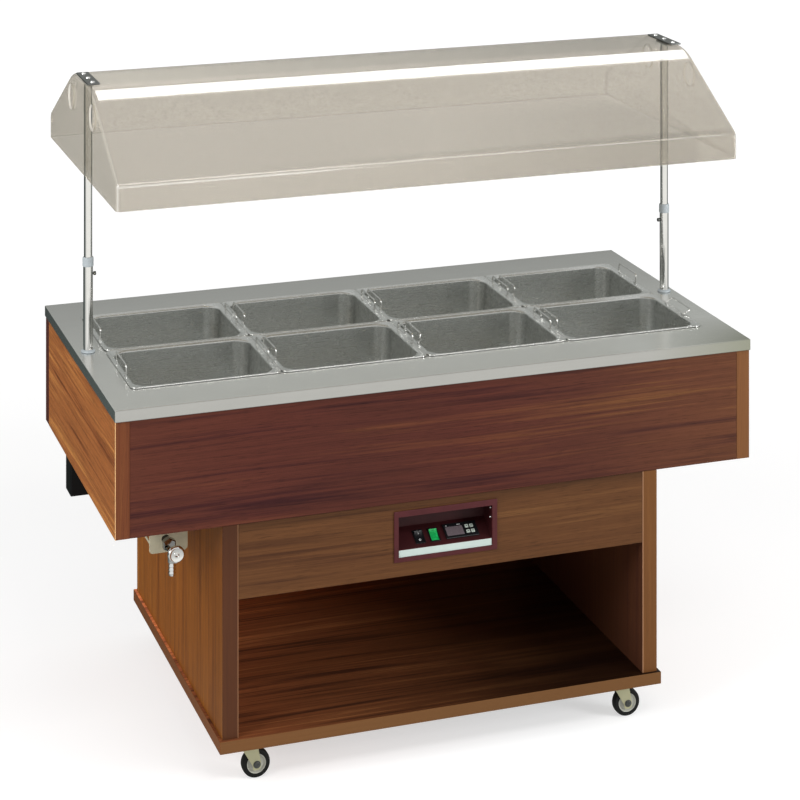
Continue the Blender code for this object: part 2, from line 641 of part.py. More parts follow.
def build_thermostat(bezel):
    place = (THERMOSTAT_X, THERMOSTAT_UP)
    body_w, body_h, clearance = THERMOSTAT_BODY_W, THERMOSTAT_BODY_H, 0.0005
    thermostat = plate_box("thermostat", *place, THERMOSTAT_W, THERMOSTAT_H,
                           0.0003, 0.0034, BLACK, 0.0008)
    join(thermostat, plate_cutter("join_thermostat_body", *place, body_w, body_h,
                                  -0.0240, 0.0020))
    cut(bezel, plate_cutter("cut_thermostat", *place, body_w + 2 * clearance,
                            body_h + 2 * clearance, -0.015, 0.004))
    key_places = [(x, up) for up in KEY_ROWS for x in KEY_COLUMNS]
    pocket = KEY_SIZE + 2 * GAP
    for number, (x, up) in enumerate(key_places, start=1):
        cut(thermostat, plate_cutter("cut_key_%d" % number, x, up, pocket, pocket,
                                     0.0006, 0.0080))
        plate_box("button_%d" % number, x, up, KEY_SIZE, KEY_SIZE, 0.0018, 0.0046, KEY, 0.0006)


def build_control_panel():
    bezel = build_bezel()
    build_rocker(bezel, "rocker_power", -0.0530, BLACK)
    build_rocker(bezel, "rocker_heat", -0.0196, GREEN)
    build_thermostat(bezel)


# ---------------------------------------------------------------- posts
# (radius, z): a tube with a collar at its mouth, a flange on the worktop and a
# closed lower end
BORE_R = ROD_R + GAP
TUBE_PROFILE = [
    (BORE_R, TUBE_Z1), (0.0120, TUBE_Z1), (0.0120, TUBE_Z1 - 0.020), (TUBE_R, TUBE_Z1 - 0.020),
    (TUBE_R, TOP_Z + 0.0043), (0.0155, TOP_Z + 0.0033), (0.0155, TOP_Z + GAP),
    (TUBE_R, TOP_Z + GAP), (TUBE_R, TUBE_Z0), (0.0, TUBE_Z0), (0.0, TUBE_Z0 + 0.003),
    (BORE_R, TUBE_Z0 + 0.003), (BORE_R, TUBE_Z1),
]
# (radius, z): the rod ends just under the hood's top sheet
ROD_Z1 = HOOD_TOP - HOOD_T - GAP
ROD_PROFILE = [
    (0.0, ROD_Z1), (0.0050, ROD_Z1), (ROD_R, HOOD_TOP - HOOD_T - 0.0050),
    (ROD_R, ROD_Z0), (0.0, ROD_Z0),
]
# (radius, distance from the rod's surface)
LOCK_PROFILE = [
    (0.0, 0.0092), (0.0038, 0.0092), (0.0045, 0.0084), (0.0045, 0.0040),
    (0.0038, 0.0034), (0.0020, 0.0034), (0.0020, 0.0006), (0.0, 0.0006),
]


def build_posts():
    for side, sign in SIDES:
        foot = (sign * POST_X, POST_Y, 0.0)
        tube = turned("post_lower_" + side, TUBE_PROFILE, CHROME, foot)
        cut(tube, rod_cutter("cut_lock_" + side, (sign * (POST_X - 0.010), POST_Y, LOCK_Z),
                             0.0024, 0.008, "X", 12))
        turned("post_upper_" + side, ROD_PROFILE, CHROME, foot)
        # the lock screws point inwards, towards the middle of the unit
        turned("lock_screw_" + side, LOCK_PROFILE, CHROME,
               (sign * (POST_X - ROD_R), POST_Y, LOCK_Z), "-X" if sign > 0 else "X", 14)


# ---------------------------------------------------------------- hood
def hood_section():
    """(y, z) from the front: lip, slope, bend, flat top, and the same behind."""
    lip_top = HOOD_Z0 + HOOD_LIP
    section = [
        (-HOOD_HALF, HOOD_Z0), (-HOOD_HALF, lip_top),
        (-HOOD_HALF + 0.0025, lip_top + 0.0060), (-HOOD_HALF + 0.0085, lip_top + 0.0120),
    ]
    # the bend turns from the slope to level; it ends where the flat top starts
    bend = []
    for i in range(HOOD_BEND_STEPS + 1):
        angle = HOOD_SLOPE * (1.0 - i / HOOD_BEND_STEPS)
        bend.append((-HOOD_BEND_R * math.sin(angle),
                     HOOD_BEND_R * math.cos(angle) - HOOD_BEND_R))
    slope_y, slope_z = section[-1]
    bend_y, bend_z = bend[0]
    rise = HOOD_TOP + bend_z - slope_z
    bend_start = slope_y + rise / math.tan(HOOD_SLOPE)
    section += [(bend_start + (y - bend_y), HOOD_TOP + z) for y, z in bend]
    return section + [(-y, z) for y, z in reversed(section)]


def hood_mesh():
    """The section drawn out along X, its end edges rounded, open below."""
    def at_bottom(verts):
        return all(vert.co.z < HOOD_Z0 + 1e-5 for vert in verts)

    outline = [(-HOOD_X, HOOD_Y + y, z) for y, z in hood_section()]
    bm = extruded(outline, (2 * HOOD_X, 0, 0))
    end_edges = [edge for edge in bm.edges
                 if abs(edge.verts[0].co.x - edge.verts[1].co.x) < 1e-6
                 and not at_bottom(edge.verts)]
    bmesh.ops.bevel(bm, geom=end_edges, offset=0.008, segments=3, profile=0.5,
                    affect="EDGES", clamp_overlap=True)
    underside = [face for face in bm.faces if at_bottom(face.verts)]
    bmesh.ops.delete(bm, geom=underside, context="FACES_ONLY")
    return mesh_of("hood_shell", bm)


def build_hood():
    hood = piece("hood_shell", hood_mesh(), ACRYLIC)
    solidify(hood, HOOD_T, offset=-1.0)
    plate_x, plate_y = 0.0135, 0.0665   # half sizes of the plates over the posts
    for side, sign in SIDES:
        for end, y in (("front", -HOLE_Y), ("back", HOLE_Y)):
            cut(hood, rod_cutter("cut_hood_%s_%s" % (side, end),
                                 (sign * HOOD_X, HOOD_Y + y, HOLE_Z), HOLE_R, 0.030, "X", 24))
        x = sign * POST_X
        box("hood_plate_" + side, (x - plate_x, POST_Y - plate_y, HOOD_TOP + GAP),
            (x + plate_x, POST_Y + plate_y, HOOD_TOP + 0.0043), CHROME, 0.0010)


# ---------------------------------------------------------------- casters
def mirrored(half):
    """A (radius, height) profile followed by its mirror image below."""
    return half + [(radius, -height) for radius, height in reversed(half)]


# (radius, z)
RACE_PROFILE = [(0.0, 0.0790), (0.0150, 0.0790), (0.0165, 0.0755), (0.0165, 0.0712), (0.0, 0.0712)]
# (radius, distance from the wheel's middle plane)
AXLE_PROFILE = mirrored([(0.0, 0.0172), (0.0050, 0.0172), (0.0050, 0.0130), (0.0030, 0.0130)])
WHEEL_PROFILE = mirrored([
    (0.0033, 0.0098), (0.0080, 0.0098), (0.0090, 0.0070), (0.0190, 0.0070),
    (0.0200, 0.0098), (0.0270, 0.0098), (WHEEL_R, 0.0060),
]) + [(0.0033, 0.0098)]
# (x from the swivel, z): the fork seen along the axle
FORK_OUTLINE = (
    [(-0.0150, FORK_TOP), (-0.0150, 0.0660), (-0.0100, 0.0600)]
    + arc(CASTER_TRAIL, WHEEL_R, 0.0095, 200, 360, 6)
    + [(CASTER_TRAIL + 0.0105, 0.0600), (0.0165, 0.0660), (0.0165, FORK_TOP)]
)
FORK_HALF_W, FORK_SLOT = 0.0135, 0.0112   # half width outside and inside


def build_caster(tag, x, y):
    plate_top = BASE_Z0 - GAP
    plate = box("caster_plate_" + tag, (x - 0.039, y - 0.033, plate_top - 0.0025),
                (x + 0.039, y + 0.033, plate_top), ZINC, 0.0008)
    join(plate, turned("join_race_" + tag, RACE_PROFILE, None, (x, y, 0.0)))

    # the fork is solid across the wheel, then slotted from below
    outline = [(px, -FORK_HALF_W, pz - FORK_TOP) for px, pz in FORK_OUTLINE]
    fork_mesh = mesh_of("caster_fork_" + tag, extruded(outline, (0, 2 * FORK_HALF_W, 0)))
    fork = piece("caster_fork_" + tag, fork_mesh, ZINC, (x, y, FORK_TOP))
    cut(fork, box_cutter("cut_fork_" + tag, (x - 0.06, y - FORK_SLOT, -0.01),
                         (x + 0.06, y + FORK_SLOT, 0.0672)))
    hub = (x + CASTER_TRAIL, y, WHEEL_R)
    join(fork, turned("join_axle_" + tag, AXLE_PROFILE, None, hub, "-Y", 14))
    turned("caster_wheel_" + tag, WHEEL_PROFILE, RUBBER, hub, "-Y", 16)


def build_casters():
    for side, sign in SIDES:
        for end, y in (("front", CASTER_YF), ("back", CASTER_YB)):
            build_caster("%s_%s" % (end, side), sign * CASTER_X, y)


# ---------------------------------------------------------------- build
build_lower_cabinet()
build_upper_box()
build_worktop()
build_tank_and_insulation()
build_heating_element()
build_crossbars()
build_pans()
build_drain_pipe()
build_tap_bracket()
build_tap()
build_terminal_box()
build_control_panel()
build_posts()
build_hood()
build_casters()
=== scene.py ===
import bpy
import bmesh
import math
import random
from mathutils import Matrix, Vector


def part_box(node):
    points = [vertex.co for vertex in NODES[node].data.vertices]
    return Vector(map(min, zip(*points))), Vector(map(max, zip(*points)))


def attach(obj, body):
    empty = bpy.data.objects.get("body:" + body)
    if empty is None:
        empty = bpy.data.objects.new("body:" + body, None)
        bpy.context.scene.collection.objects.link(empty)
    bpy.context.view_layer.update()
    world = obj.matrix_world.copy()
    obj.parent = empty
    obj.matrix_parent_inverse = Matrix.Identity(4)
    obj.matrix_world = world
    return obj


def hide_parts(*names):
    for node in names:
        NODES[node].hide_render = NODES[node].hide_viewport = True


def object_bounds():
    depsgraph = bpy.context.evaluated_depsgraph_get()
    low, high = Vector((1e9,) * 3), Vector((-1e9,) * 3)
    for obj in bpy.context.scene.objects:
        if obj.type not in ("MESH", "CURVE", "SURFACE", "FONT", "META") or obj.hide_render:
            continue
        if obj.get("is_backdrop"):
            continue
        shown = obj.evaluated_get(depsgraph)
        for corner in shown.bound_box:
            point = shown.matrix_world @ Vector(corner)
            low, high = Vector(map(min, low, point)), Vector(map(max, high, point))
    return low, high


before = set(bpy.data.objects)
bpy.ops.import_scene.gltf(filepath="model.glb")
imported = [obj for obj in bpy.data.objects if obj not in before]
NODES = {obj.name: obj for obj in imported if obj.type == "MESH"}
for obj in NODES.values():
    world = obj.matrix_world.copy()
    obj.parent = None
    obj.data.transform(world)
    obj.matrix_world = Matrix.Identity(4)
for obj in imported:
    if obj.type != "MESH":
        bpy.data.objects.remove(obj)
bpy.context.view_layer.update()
random.seed(729)

# --------------------------------------------------------------- places
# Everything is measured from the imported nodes' boxes.
T_LO, T_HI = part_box("worktop")
SY = (T_LO.y + T_HI.y) / 2            # middle of the worktop in Y
TOP_Z = T_HI.z


def V(x, y, z):
    """A point in the worktop's own frame: y counted from the worktop's middle."""
    return Vector((x, y + SY, z))


# --------------------------------------------------------------- node materials
class Mat:
    """A short way to write a node tree."""

    def __init__(self, name):
        self.m = bpy.data.materials.new(name)
        self.m.use_nodes = True
        self.t = self.m.node_tree
        self.t.nodes.clear()
        self.out = self.t.nodes.new("ShaderNodeOutputMaterial")
        self.p = self.t.nodes.new("ShaderNodeBsdfPrincipled")
        self.t.links.new(self.p.outputs[0], self.out.inputs["Surface"])

    def node(self, kind, props=None, **ins):
        n = self.t.nodes.new(kind)
        for k, v in (props or {}).items():
            setattr(n, k, v)
        for k, v in ins.items():
            self.put(n.inputs[k.replace("_", " ")] if k.replace("_", " ") in n.inputs else n.inputs[int(k[1:])], v)
        return n

    def put(self, sock, v):
        if hasattr(v, "is_output") or isinstance(v, bpy.types.NodeSocket):
            self.t.links.new(v, sock)
        else:
            sock.default_value = v

    def coords(self):
        return self.node("ShaderNodeTexCoord").outputs["Object"]

    def mapping(self, vec, loc=(0, 0, 0), scale=(1, 1, 1), rot=(0, 0, 0)):
        n = self.node("ShaderNodeMapping")
        self.put(n.inputs["Vector"], vec)
        n.inputs["Location"].default_value = loc
        n.inputs["Rotation"].default_value = rot
        n.inputs["Scale"].default_value = scale
        return n.outputs[0]

    def noise(self, vec, scale, detail=2.0, rough=0.5, dist=0.0):
        n = self.node("ShaderNodeTexNoise")
        self.put(n.inputs["Vector"], vec)
        n.inputs["Scale"].default_value = scale
        n.inputs["Detail"].default_value = detail
        n.inputs["Roughness"].default_value = rough
        n.inputs["Distortion"].default_value = dist
        return n.outputs["Fac"] if "Fac" in n.outputs else n.outputs[0]

    def ramp(self, fac, stops):
        n = self.node("ShaderNodeValToRGB")
        self.put(n.inputs[0], fac)
        e = n.color_ramp.elements
        while len(e) > 2:
            e.remove(e[-1])
        for i, (p, c) in enumerate(stops):
            el = e[i] if i < 2 else e.new(p)
            el.position = p
            el.color = (c, c, c, 1) if isinstance(c, (int, float)) else (c[0], c[1], c[2], 1)
        return n.outputs[0]

    def math(self, op, a, b=0.0, clamp=False):
        n = self.node("ShaderNodeMath", {"operation": op, "use_clamp": clamp})
        self.put(n.inputs[0], a)
        self.put(n.inputs[1], b)
        return n.outputs[0]

    def mix(self, fac, a, b, blend="MIX"):
        n = self.node("ShaderNodeMix", {"data_type": "RGBA", "blend_type": blend})
        self.put(n.inputs[0], fac)
        self.put(n.inputs[6], a if isinstance(a, bpy.types.NodeSocket) else (a[0], a[1], a[2], 1))
        self.put(n.inputs[7], b if isinstance(b, bpy.types.NodeSocket) else (b[0], b[1], b[2], 1))
        return n.outputs[2]

    def mixv(self, fac, a, b):
        n = self.node("ShaderNodeMix", {"data_type": "VECTOR"})
        self.put(n.inputs[0], fac)
        self.put(n.inputs[4], a)
        self.put(n.inputs[5], b)
        return n.outputs[1]

    def lerp(self, fac, lo, hi):
        n = self.node("ShaderNodeMapRange")
        self.put(n.inputs[0], fac)
        n.inputs[3].default_value = lo
        n.inputs[4].default_value = hi
        return n.outputs[0]

    def bump(self, height, strength, dist):
        n = self.node("ShaderNodeBump")
        n.inputs["Strength"].default_value = strength
        n.inputs["Distance"].default_value = dist
        self.put(n.inputs["Height"], height)
        self.t.links.new(n.outputs[0], self.p.inputs["Normal"])
        return n.outputs[0]

    def set(self, **ins):
        for k, v in ins.items():
            s = self.p.inputs[k.replace("_", " ")]
            if isinstance(v, (tuple, list)) and len(v) == 3 and s.type == "RGBA":
                v = (v[0], v[1], v[2], 1.0)
            self.put(s, v)
        return self


def lin(r, g, b):
    """An sRGB colour in 0..255 as linear light."""
    def f(c):
        c /= 255.0
        return c / 12.92 if c <= 0.04045 else ((c + 0.055) / 1.055) ** 2.4
    return (f(r), f(g), f(b))


AX = {"X": 0, "Y": 1, "Z": 2}


def wood(name, axis, dark, mid, light, seed, alt=None, rough=0.46, band=1.0, wave=1.0, contrast=1.0, streaks=1.0):
    """Walnut laminate: long streaks along axis, and along alt on the faces that axis runs into."""
    m = Mat(name)
    co = m.coords()
    if alt:
        geo = m.node("ShaderNodeNewGeometry")
        sep = m.node("ShaderNodeSeparateXYZ")
        m.put(sep.inputs[0], geo.outputs["True Normal"])
        turn = m.math("GREATER_THAN", m.math("ABSOLUTE", sep.outputs[AX[axis]]), 0.6)

    def layer(stretch, scale, detail, rgh, off, dist=0.0, src=None):
        def one(ax):
            sc = [1.0, 1.0, 1.0]
            sc[AX[ax]] = stretch
            return m.mapping(src or co, (seed + off, seed * 0.7 + off + 3.1, seed * 1.3 + off + 1.7), sc)
        v = one(axis)
        if alt:
            v = m.mixv(turn, v, one(alt))
        return m.noise(v, scale, detail, rgh, dist)

    # slow waver, so that the streaks drift and pinch like sawn veneer
    sc = [1.0, 1.0, 1.0]
    sc[AX[axis]] = 0.55
    drift = m.node("ShaderNodeTexNoise")
    m.put(drift.inputs["Vector"], m.mapping(co, (seed, seed, seed), sc))
    drift.inputs["Scale"].default_value = 2.2
    drift.inputs["Detail"].default_value = 0.0
    off = m.node("ShaderNodeVectorMath", {"operation": "MULTIPLY_ADD"})
    m.put(off.inputs[0], drift.outputs["Color"])
    off.inputs[1].default_value = (0.045 * wave, 0.045 * wave, 0.045 * wave)
    m.put(off.inputs[2], co)
    w = off.outputs[0]
    broad = layer(0.11, 10.0 * band, 2.0, 0.5, 0.0, 0.0, w)
    band2 = layer(0.040, 42.0 * band, 2.0, 0.5, 7.0, 0.0, w)
    slow = m.node("ShaderNodeVectorMath", {"operation": "MULTIPLY_ADD"})
    m.put(slow.inputs[0], drift.outputs["Color"])
    slow.inputs[1].default_value = (0.022 * wave, 0.022 * wave, 0.022 * wave)
    m.put(slow.inputs[2], co)
    w2 = slow.outputs[0]
    streak = layer(0.014, 160.0 * band, 3.0, 0.55, 13.0, 0.0, w2)
    fine = layer(0.010, 480.0, 3.0, 0.6, 19.0, 0.0, w2)
    pore = layer(0.030, 900.0, 1.0, 0.5, 23.0, 0.0, w2)
    tone = m.math("ADD", m.math("MULTIPLY", broad, 0.42 - 0.10 * streaks), m.math("MULTIPLY", band2, 0.36))
    tone = m.math("ADD", tone, m.math("MULTIPLY", streak, 0.22 + 0.10 * streaks))
    k = 0.100 / contrast
    col = m.ramp(tone, [(0.50 - k * 1.15, dark), (0.50 - k * 0.25, mid), (0.50 + k * 0.35, mid), (0.50 + k * 1.25, light)])
    col = m.mix(0.80 * streaks, col, m.ramp(streak, [(0.34, 0.80), (0.52, 1.0), (0.66, 1.07)]), "MULTIPLY")
    col = m.mix(0.75 * streaks, col, m.ramp(fine, [(0.34, 0.72), (0.60, 1.08)]), "MULTIPLY")
    col = m.mix(0.70, col, m.ramp(pore, [(0.30, 0.50), (0.40, 1.0)]), "MULTIPLY")
    m.set(Base_Color=col)
    m.set(Roughness=m.lerp(fine, rough - 0.06, rough + 0.08))
    m.set(Specular_IOR_Level=0.13)
    m.bump(m.math("ADD", m.math("MULTIPLY", fine, 0.6), m.math("MULTIPLY", pore, 0.4)), 0.12, 0.0005)
    return m


def with_edge(m, box_lo, box_hi, test, colour, amount=0.85):
    """Tint a strip of a wood material that lies inside a box of the frame."""
    co = m.coords()
    sep = m.node("ShaderNodeSeparateXYZ")
    m.put(sep.inputs[0], co)
    f = None
    for ax, lo, hi in test:
        s = sep.outputs[AX[ax]]
        if lo is not None:
            c = m.math("GREATER_THAN", s, lo)
            f = c if f is None else m.math("MULTIPLY", f, c)
        if hi is not None:
            c = m.math("LESS_THAN", s, hi)
            f = c if f is None else m.math("MULTIPLY", f, c)
    f = m.math("MULTIPLY", f, amount)
    old = m.p.inputs["Base Color"].links[0].from_socket
    m.put(m.p.inputs["Base Color"], m.mix(f, old, colour))
    return m


def steel(name, base, axis="X", rough=0.30, depth=0.05, spread=0.10, fine=900.0, cloudy=1.0):
    m = Mat(name)
    co = m.coords()
    sc = [1.0, 1.0, 1.0]
    sc[AX[axis]] = 0.012
    v = m.mapping(co, scale=sc)
    lines = m.noise(v, fine, 3.0, 0.7)
    wide = m.noise(v, fine * 0.14, 2.0, 0.5)
    cloud = m.noise(co, 7.0, 3.0, 0.55, 0.6)
    smear = m.noise(m.mapping(co, scale=(1, 1, 1), loc=(4, 2, 7)), 26.0, 4.0, 0.6, 1.2)
    tint = m.ramp(m.math("ADD", m.math("MULTIPLY", cloud, 0.6), m.math("MULTIPLY", wide, 0.4)),
                  [(0.30, tuple(c * (1.0 - 0.10 * cloudy) for c in base)), (0.70, tuple(min(1.0, c * (1.0 + 0.07 * cloudy)) for c in base))])
    m.set(Base_Color=tint, Metallic=1.0)
    r = m.math("ADD", m.lerp(lines, rough - spread * 0.5, rough + spread * 0.5), m.lerp(smear, -0.035 * cloudy, 0.05 * cloudy))
    m.set(Roughness=r)
    m.bump(lines, depth, 0.0004)
    return m


def polished(name, base, rough=0.08, metal=1.0):
    m = Mat(name)
    co = m.coords()
    scr = m.noise(m.mapping(co, scale=(1, 1, 0.25)), 420.0, 3.0, 0.7)
    haze = m.noise(co, 38.0, 3.0, 0.6, 0.5)
    m.set(Base_Color=m.ramp(haze, [(0.3, tuple(c * 0.94 for c in base)), (0.7, base)]), Metallic=metal)
    m.set(Roughness=m.math("ADD", m.lerp(haze, rough * 0.6, rough * 1.6), m.lerp(scr, 0.0, 0.03)))
    m.bump(scr, 0.004, 0.0001)
    return m


def plastic(name, base, rough=0.42, grain=1800.0, depth=0.10, spec=0.5, vary=0.12, alpha=None):
    m = Mat(name)
    co = m.coords()
    g = m.noise(co, grain, 2.0, 0.6)
    cloud = m.noise(co, 30.0, 3.0, 0.55)
    m.set(Base_Color=m.ramp(cloud, [(0.3, tuple(c * (1 - vary) for c in base)), (0.7, tuple(min(1, c * (1 + vary)) for c in base))]))
    m.set(Roughness=m.lerp(g, rough - 0.05, rough + 0.07), Specular_IOR_Level=spec)
    m.bump(g, depth, 0.00025)
    return m


# wood, seen from the control side. The side aprons get a lighter, yellower walnut than the front and back aprons:
# partly the wood's own tone, partly painted light, the sides lit from the left
FRONT = wood("wood_front_apron", "X", lin(58, 24, 26), lin(82, 40, 32), lin(106, 60, 38), 3.0, alt="Z", contrast=0.80, streaks=0.75)
BACKM = wood("wood_back_apron", "X", lin(58, 24, 26), lin(82, 40, 32), lin(106, 60, 38), 11.0, alt="Z", contrast=0.80, streaks=0.75)
SIDE = wood("wood_side_apron", "Y", lin(112, 58, 26), lin(154, 92, 44), lin(180, 118, 58), 21.0, alt="Z", wave=1.6)
SIDE_R = wood("wood_side_apron_right", "Y", lin(112, 58, 26), lin(154, 92, 44), lin(180, 118, 58), 27.0, alt="Z", wave=1.6)
FASC = wood("wood_fascia", "X", lin(78, 46, 26), lin(98, 62, 34), lin(114, 76, 42), 31.0, alt="Z", contrast=0.8, streaks=0.75)
BASE = wood("wood_base_board", "X", lin(58, 32, 20), lin(90, 52, 30), lin(114, 72, 42), 41.0, alt="Y", contrast=1.2)
SIDEP = wood("wood_side_panel", "Z", lin(110, 57, 10), lin(138, 79, 18), lin(156, 97, 26), 51.0, alt="Y", contrast=0.8)
SIDEPR = wood("wood_side_panel_right", "Z", lin(104, 62, 26), lin(132, 84, 38), lin(150, 100, 48), 57.0, alt="Y", contrast=0.8)
# painted light: the inner boards (compartment ceiling, box floor, back panel) get a paler walnut to lift the shade
# inside the compartment
INNER = wood("wood_inner", "X", lin(100, 62, 42), lin(140, 92, 60), lin(164, 112, 74), 61.0, alt="Z")

BACKP = wood("wood_back_panel", "X", lin(100, 62, 42), lin(140, 92, 60), lin(164, 112, 74), 67.0, alt="Z")

STEEL = steel("brushed_worktop", (0.80, 0.80, 0.775), "X", 0.25, 0.002, 0.03, cloudy=0.4)
# painted light and shade on the worktop: lighter towards the front, darker towards the back, and the front and back
# folds darker still
_c = STEEL.coords()
_sp = STEEL.node("ShaderNodeSeparateXYZ")
STEEL.put(_sp.inputs[0], _c)
_g = STEEL.lerp(_sp.outputs[1], 1.15, 0.72)
_g.node.inputs[1].default_value, _g.node.inputs[2].default_value = -0.40, 0.36
_nn = STEEL.node("ShaderNodeSeparateXYZ")
STEEL.put(_nn.inputs[0], STEEL.node("ShaderNodeNewGeometry").outputs["True Normal"])
_side = STEEL.math("GREATER_THAN", STEEL.math("ABSOLUTE", _nn.outputs[1]), 0.7)
_g = STEEL.math("MULTIPLY", _g, STEEL.lerp(_side, 1.0, 0.60))
STEEL.put(STEEL.p.inputs["Base Color"], STEEL.mix(1.0, STEEL.p.inputs["Base Color"].links[0].from_socket, _g, "MULTIPLY"))
# painted reflection: the near right corner is tinted darker and olive, as if it mirrored the darker side of the room
_cx = STEEL.lerp(_sp.outputs[0], 0.0, 1.0)
_cx.node.inputs[1].default_value, _cx.node.inputs[2].default_value = 0.46, 0.71
_cy = STEEL.lerp(_sp.outputs[1], 0.0, 1.0)
_cy.node.inputs[1].default_value, _cy.node.inputs[2].default_value = -0.22, -0.39
STEEL.put(STEEL.p.inputs["Base Color"], STEEL.mix(STEEL.math("MULTIPLY", _cx, _cy), STEEL.p.inputs["Base Color"].links[0].from_socket, (0.40, 0.41, 0.33)))
PANSTEEL = steel("pan_steel", (0.70, 0.71, 0.695), "X", 0.27, 0.0, 0.03, 700.0, cloudy=0.25)
TANKSTEEL = steel("tank_steel", (0.50, 0.51, 0.50), "X", 0.34, 0.05)
BARSTEEL = steel("bar_steel", (0.56, 0.57, 0.56), "Y", 0.28, 0.04)
CHROME = polished("chrome_plate", (0.90, 0.90, 0.885), 0.07)
WIRE = polished("bright_wire", (0.74, 0.74, 0.72), 0.12)
ZINC = polished("zinc_plate", lin(206, 202, 166), 0.34, 0.75)
CREAM = plastic("cream_enamel", lin(188, 184, 158), 0.45, 900.0, 0.05)
COLLAR = plastic("collar_plastic", lin(168, 176, 180), 0.30, 900.0, 0.03)
BLACK = plastic("black_plastic", lin(14, 14, 14), 0.46, spec=0.15)
BLACKG = plastic("black_gloss", lin(20, 21, 23), 0.22, 900.0, 0.03)
MAROON = plastic("maroon_plastic", lin(78, 30, 33), 0.44, 1500.0, 0.14, spec=0.22)
TYRE = plastic("tyre_rubber", lin(17, 17, 16), 0.62, 700.0, 0.18, spec=0.25)
HUBM = plastic("hub_plastic", lin(178, 178, 168), 0.42, 900.0, 0.05)
KEYM = plastic("key_rubber", lin(168, 178, 168), 0.55, 1500.0, 0.08)
LABEL = plastic("label_sheet", lin(176, 190, 184), 0.35, 700.0, 0.02, vary=0.03)
INK = plastic("print_ink", lin(60, 62, 66), 0.45, 900.0, 0.02)
WHITEINK = plastic("print_white", lin(206, 208, 206), 0.45, 900.0, 0.02)
TAPM = polished("tap_plate", (0.30, 0.30, 0.295), 0.06)
DARKM = polished("dark_metal", (0.16, 0.165, 0.16), 0.30)
COPPER = polished("copper_tube", (0.62, 0.33, 0.20), 0.26)
SHEATH = steel("element_sheath", (0.24, 0.225, 0.21), "X", 0.42, 0.06)
WOOL = plastic("glass_wool", lin(206, 186, 118), 0.95, 260.0, 0.6, 0.1, 0.25)

GREEN = Mat("green_lens")
_c = GREEN.coords()
_r = GREEN.noise(GREEN.mapping(_c, scale=(1, 1, 1)), 900.0, 1.0)
GREEN.set(Base_Color=GREEN.ramp(GREEN.noise(_c, 180.0, 2.0), [(0.3, lin(8, 110, 52)), (0.7, lin(30, 158, 84))]),
          Roughness=GREEN.lerp(_r, 0.14, 0.24))
GREEN.p.inputs["Emission Color"].default_value = (*lin(20, 150, 70), 1.0)
GREEN.p.inputs["Emission Strength"].default_value = 0.25
GREEN.bump(_r, 0.04, 0.0002)

SCREEN = Mat("display_window")
_c = SCREEN.coords()
_r = SCREEN.noise(_c, 500.0, 2.0)
SCREEN.set(Base_Color=SCREEN.ramp(_r, [(0.3, lin(84, 74, 78)), (0.7, lin(104, 94, 98))]), Roughness=SCREEN.lerp(_r, 0.10, 0.16))

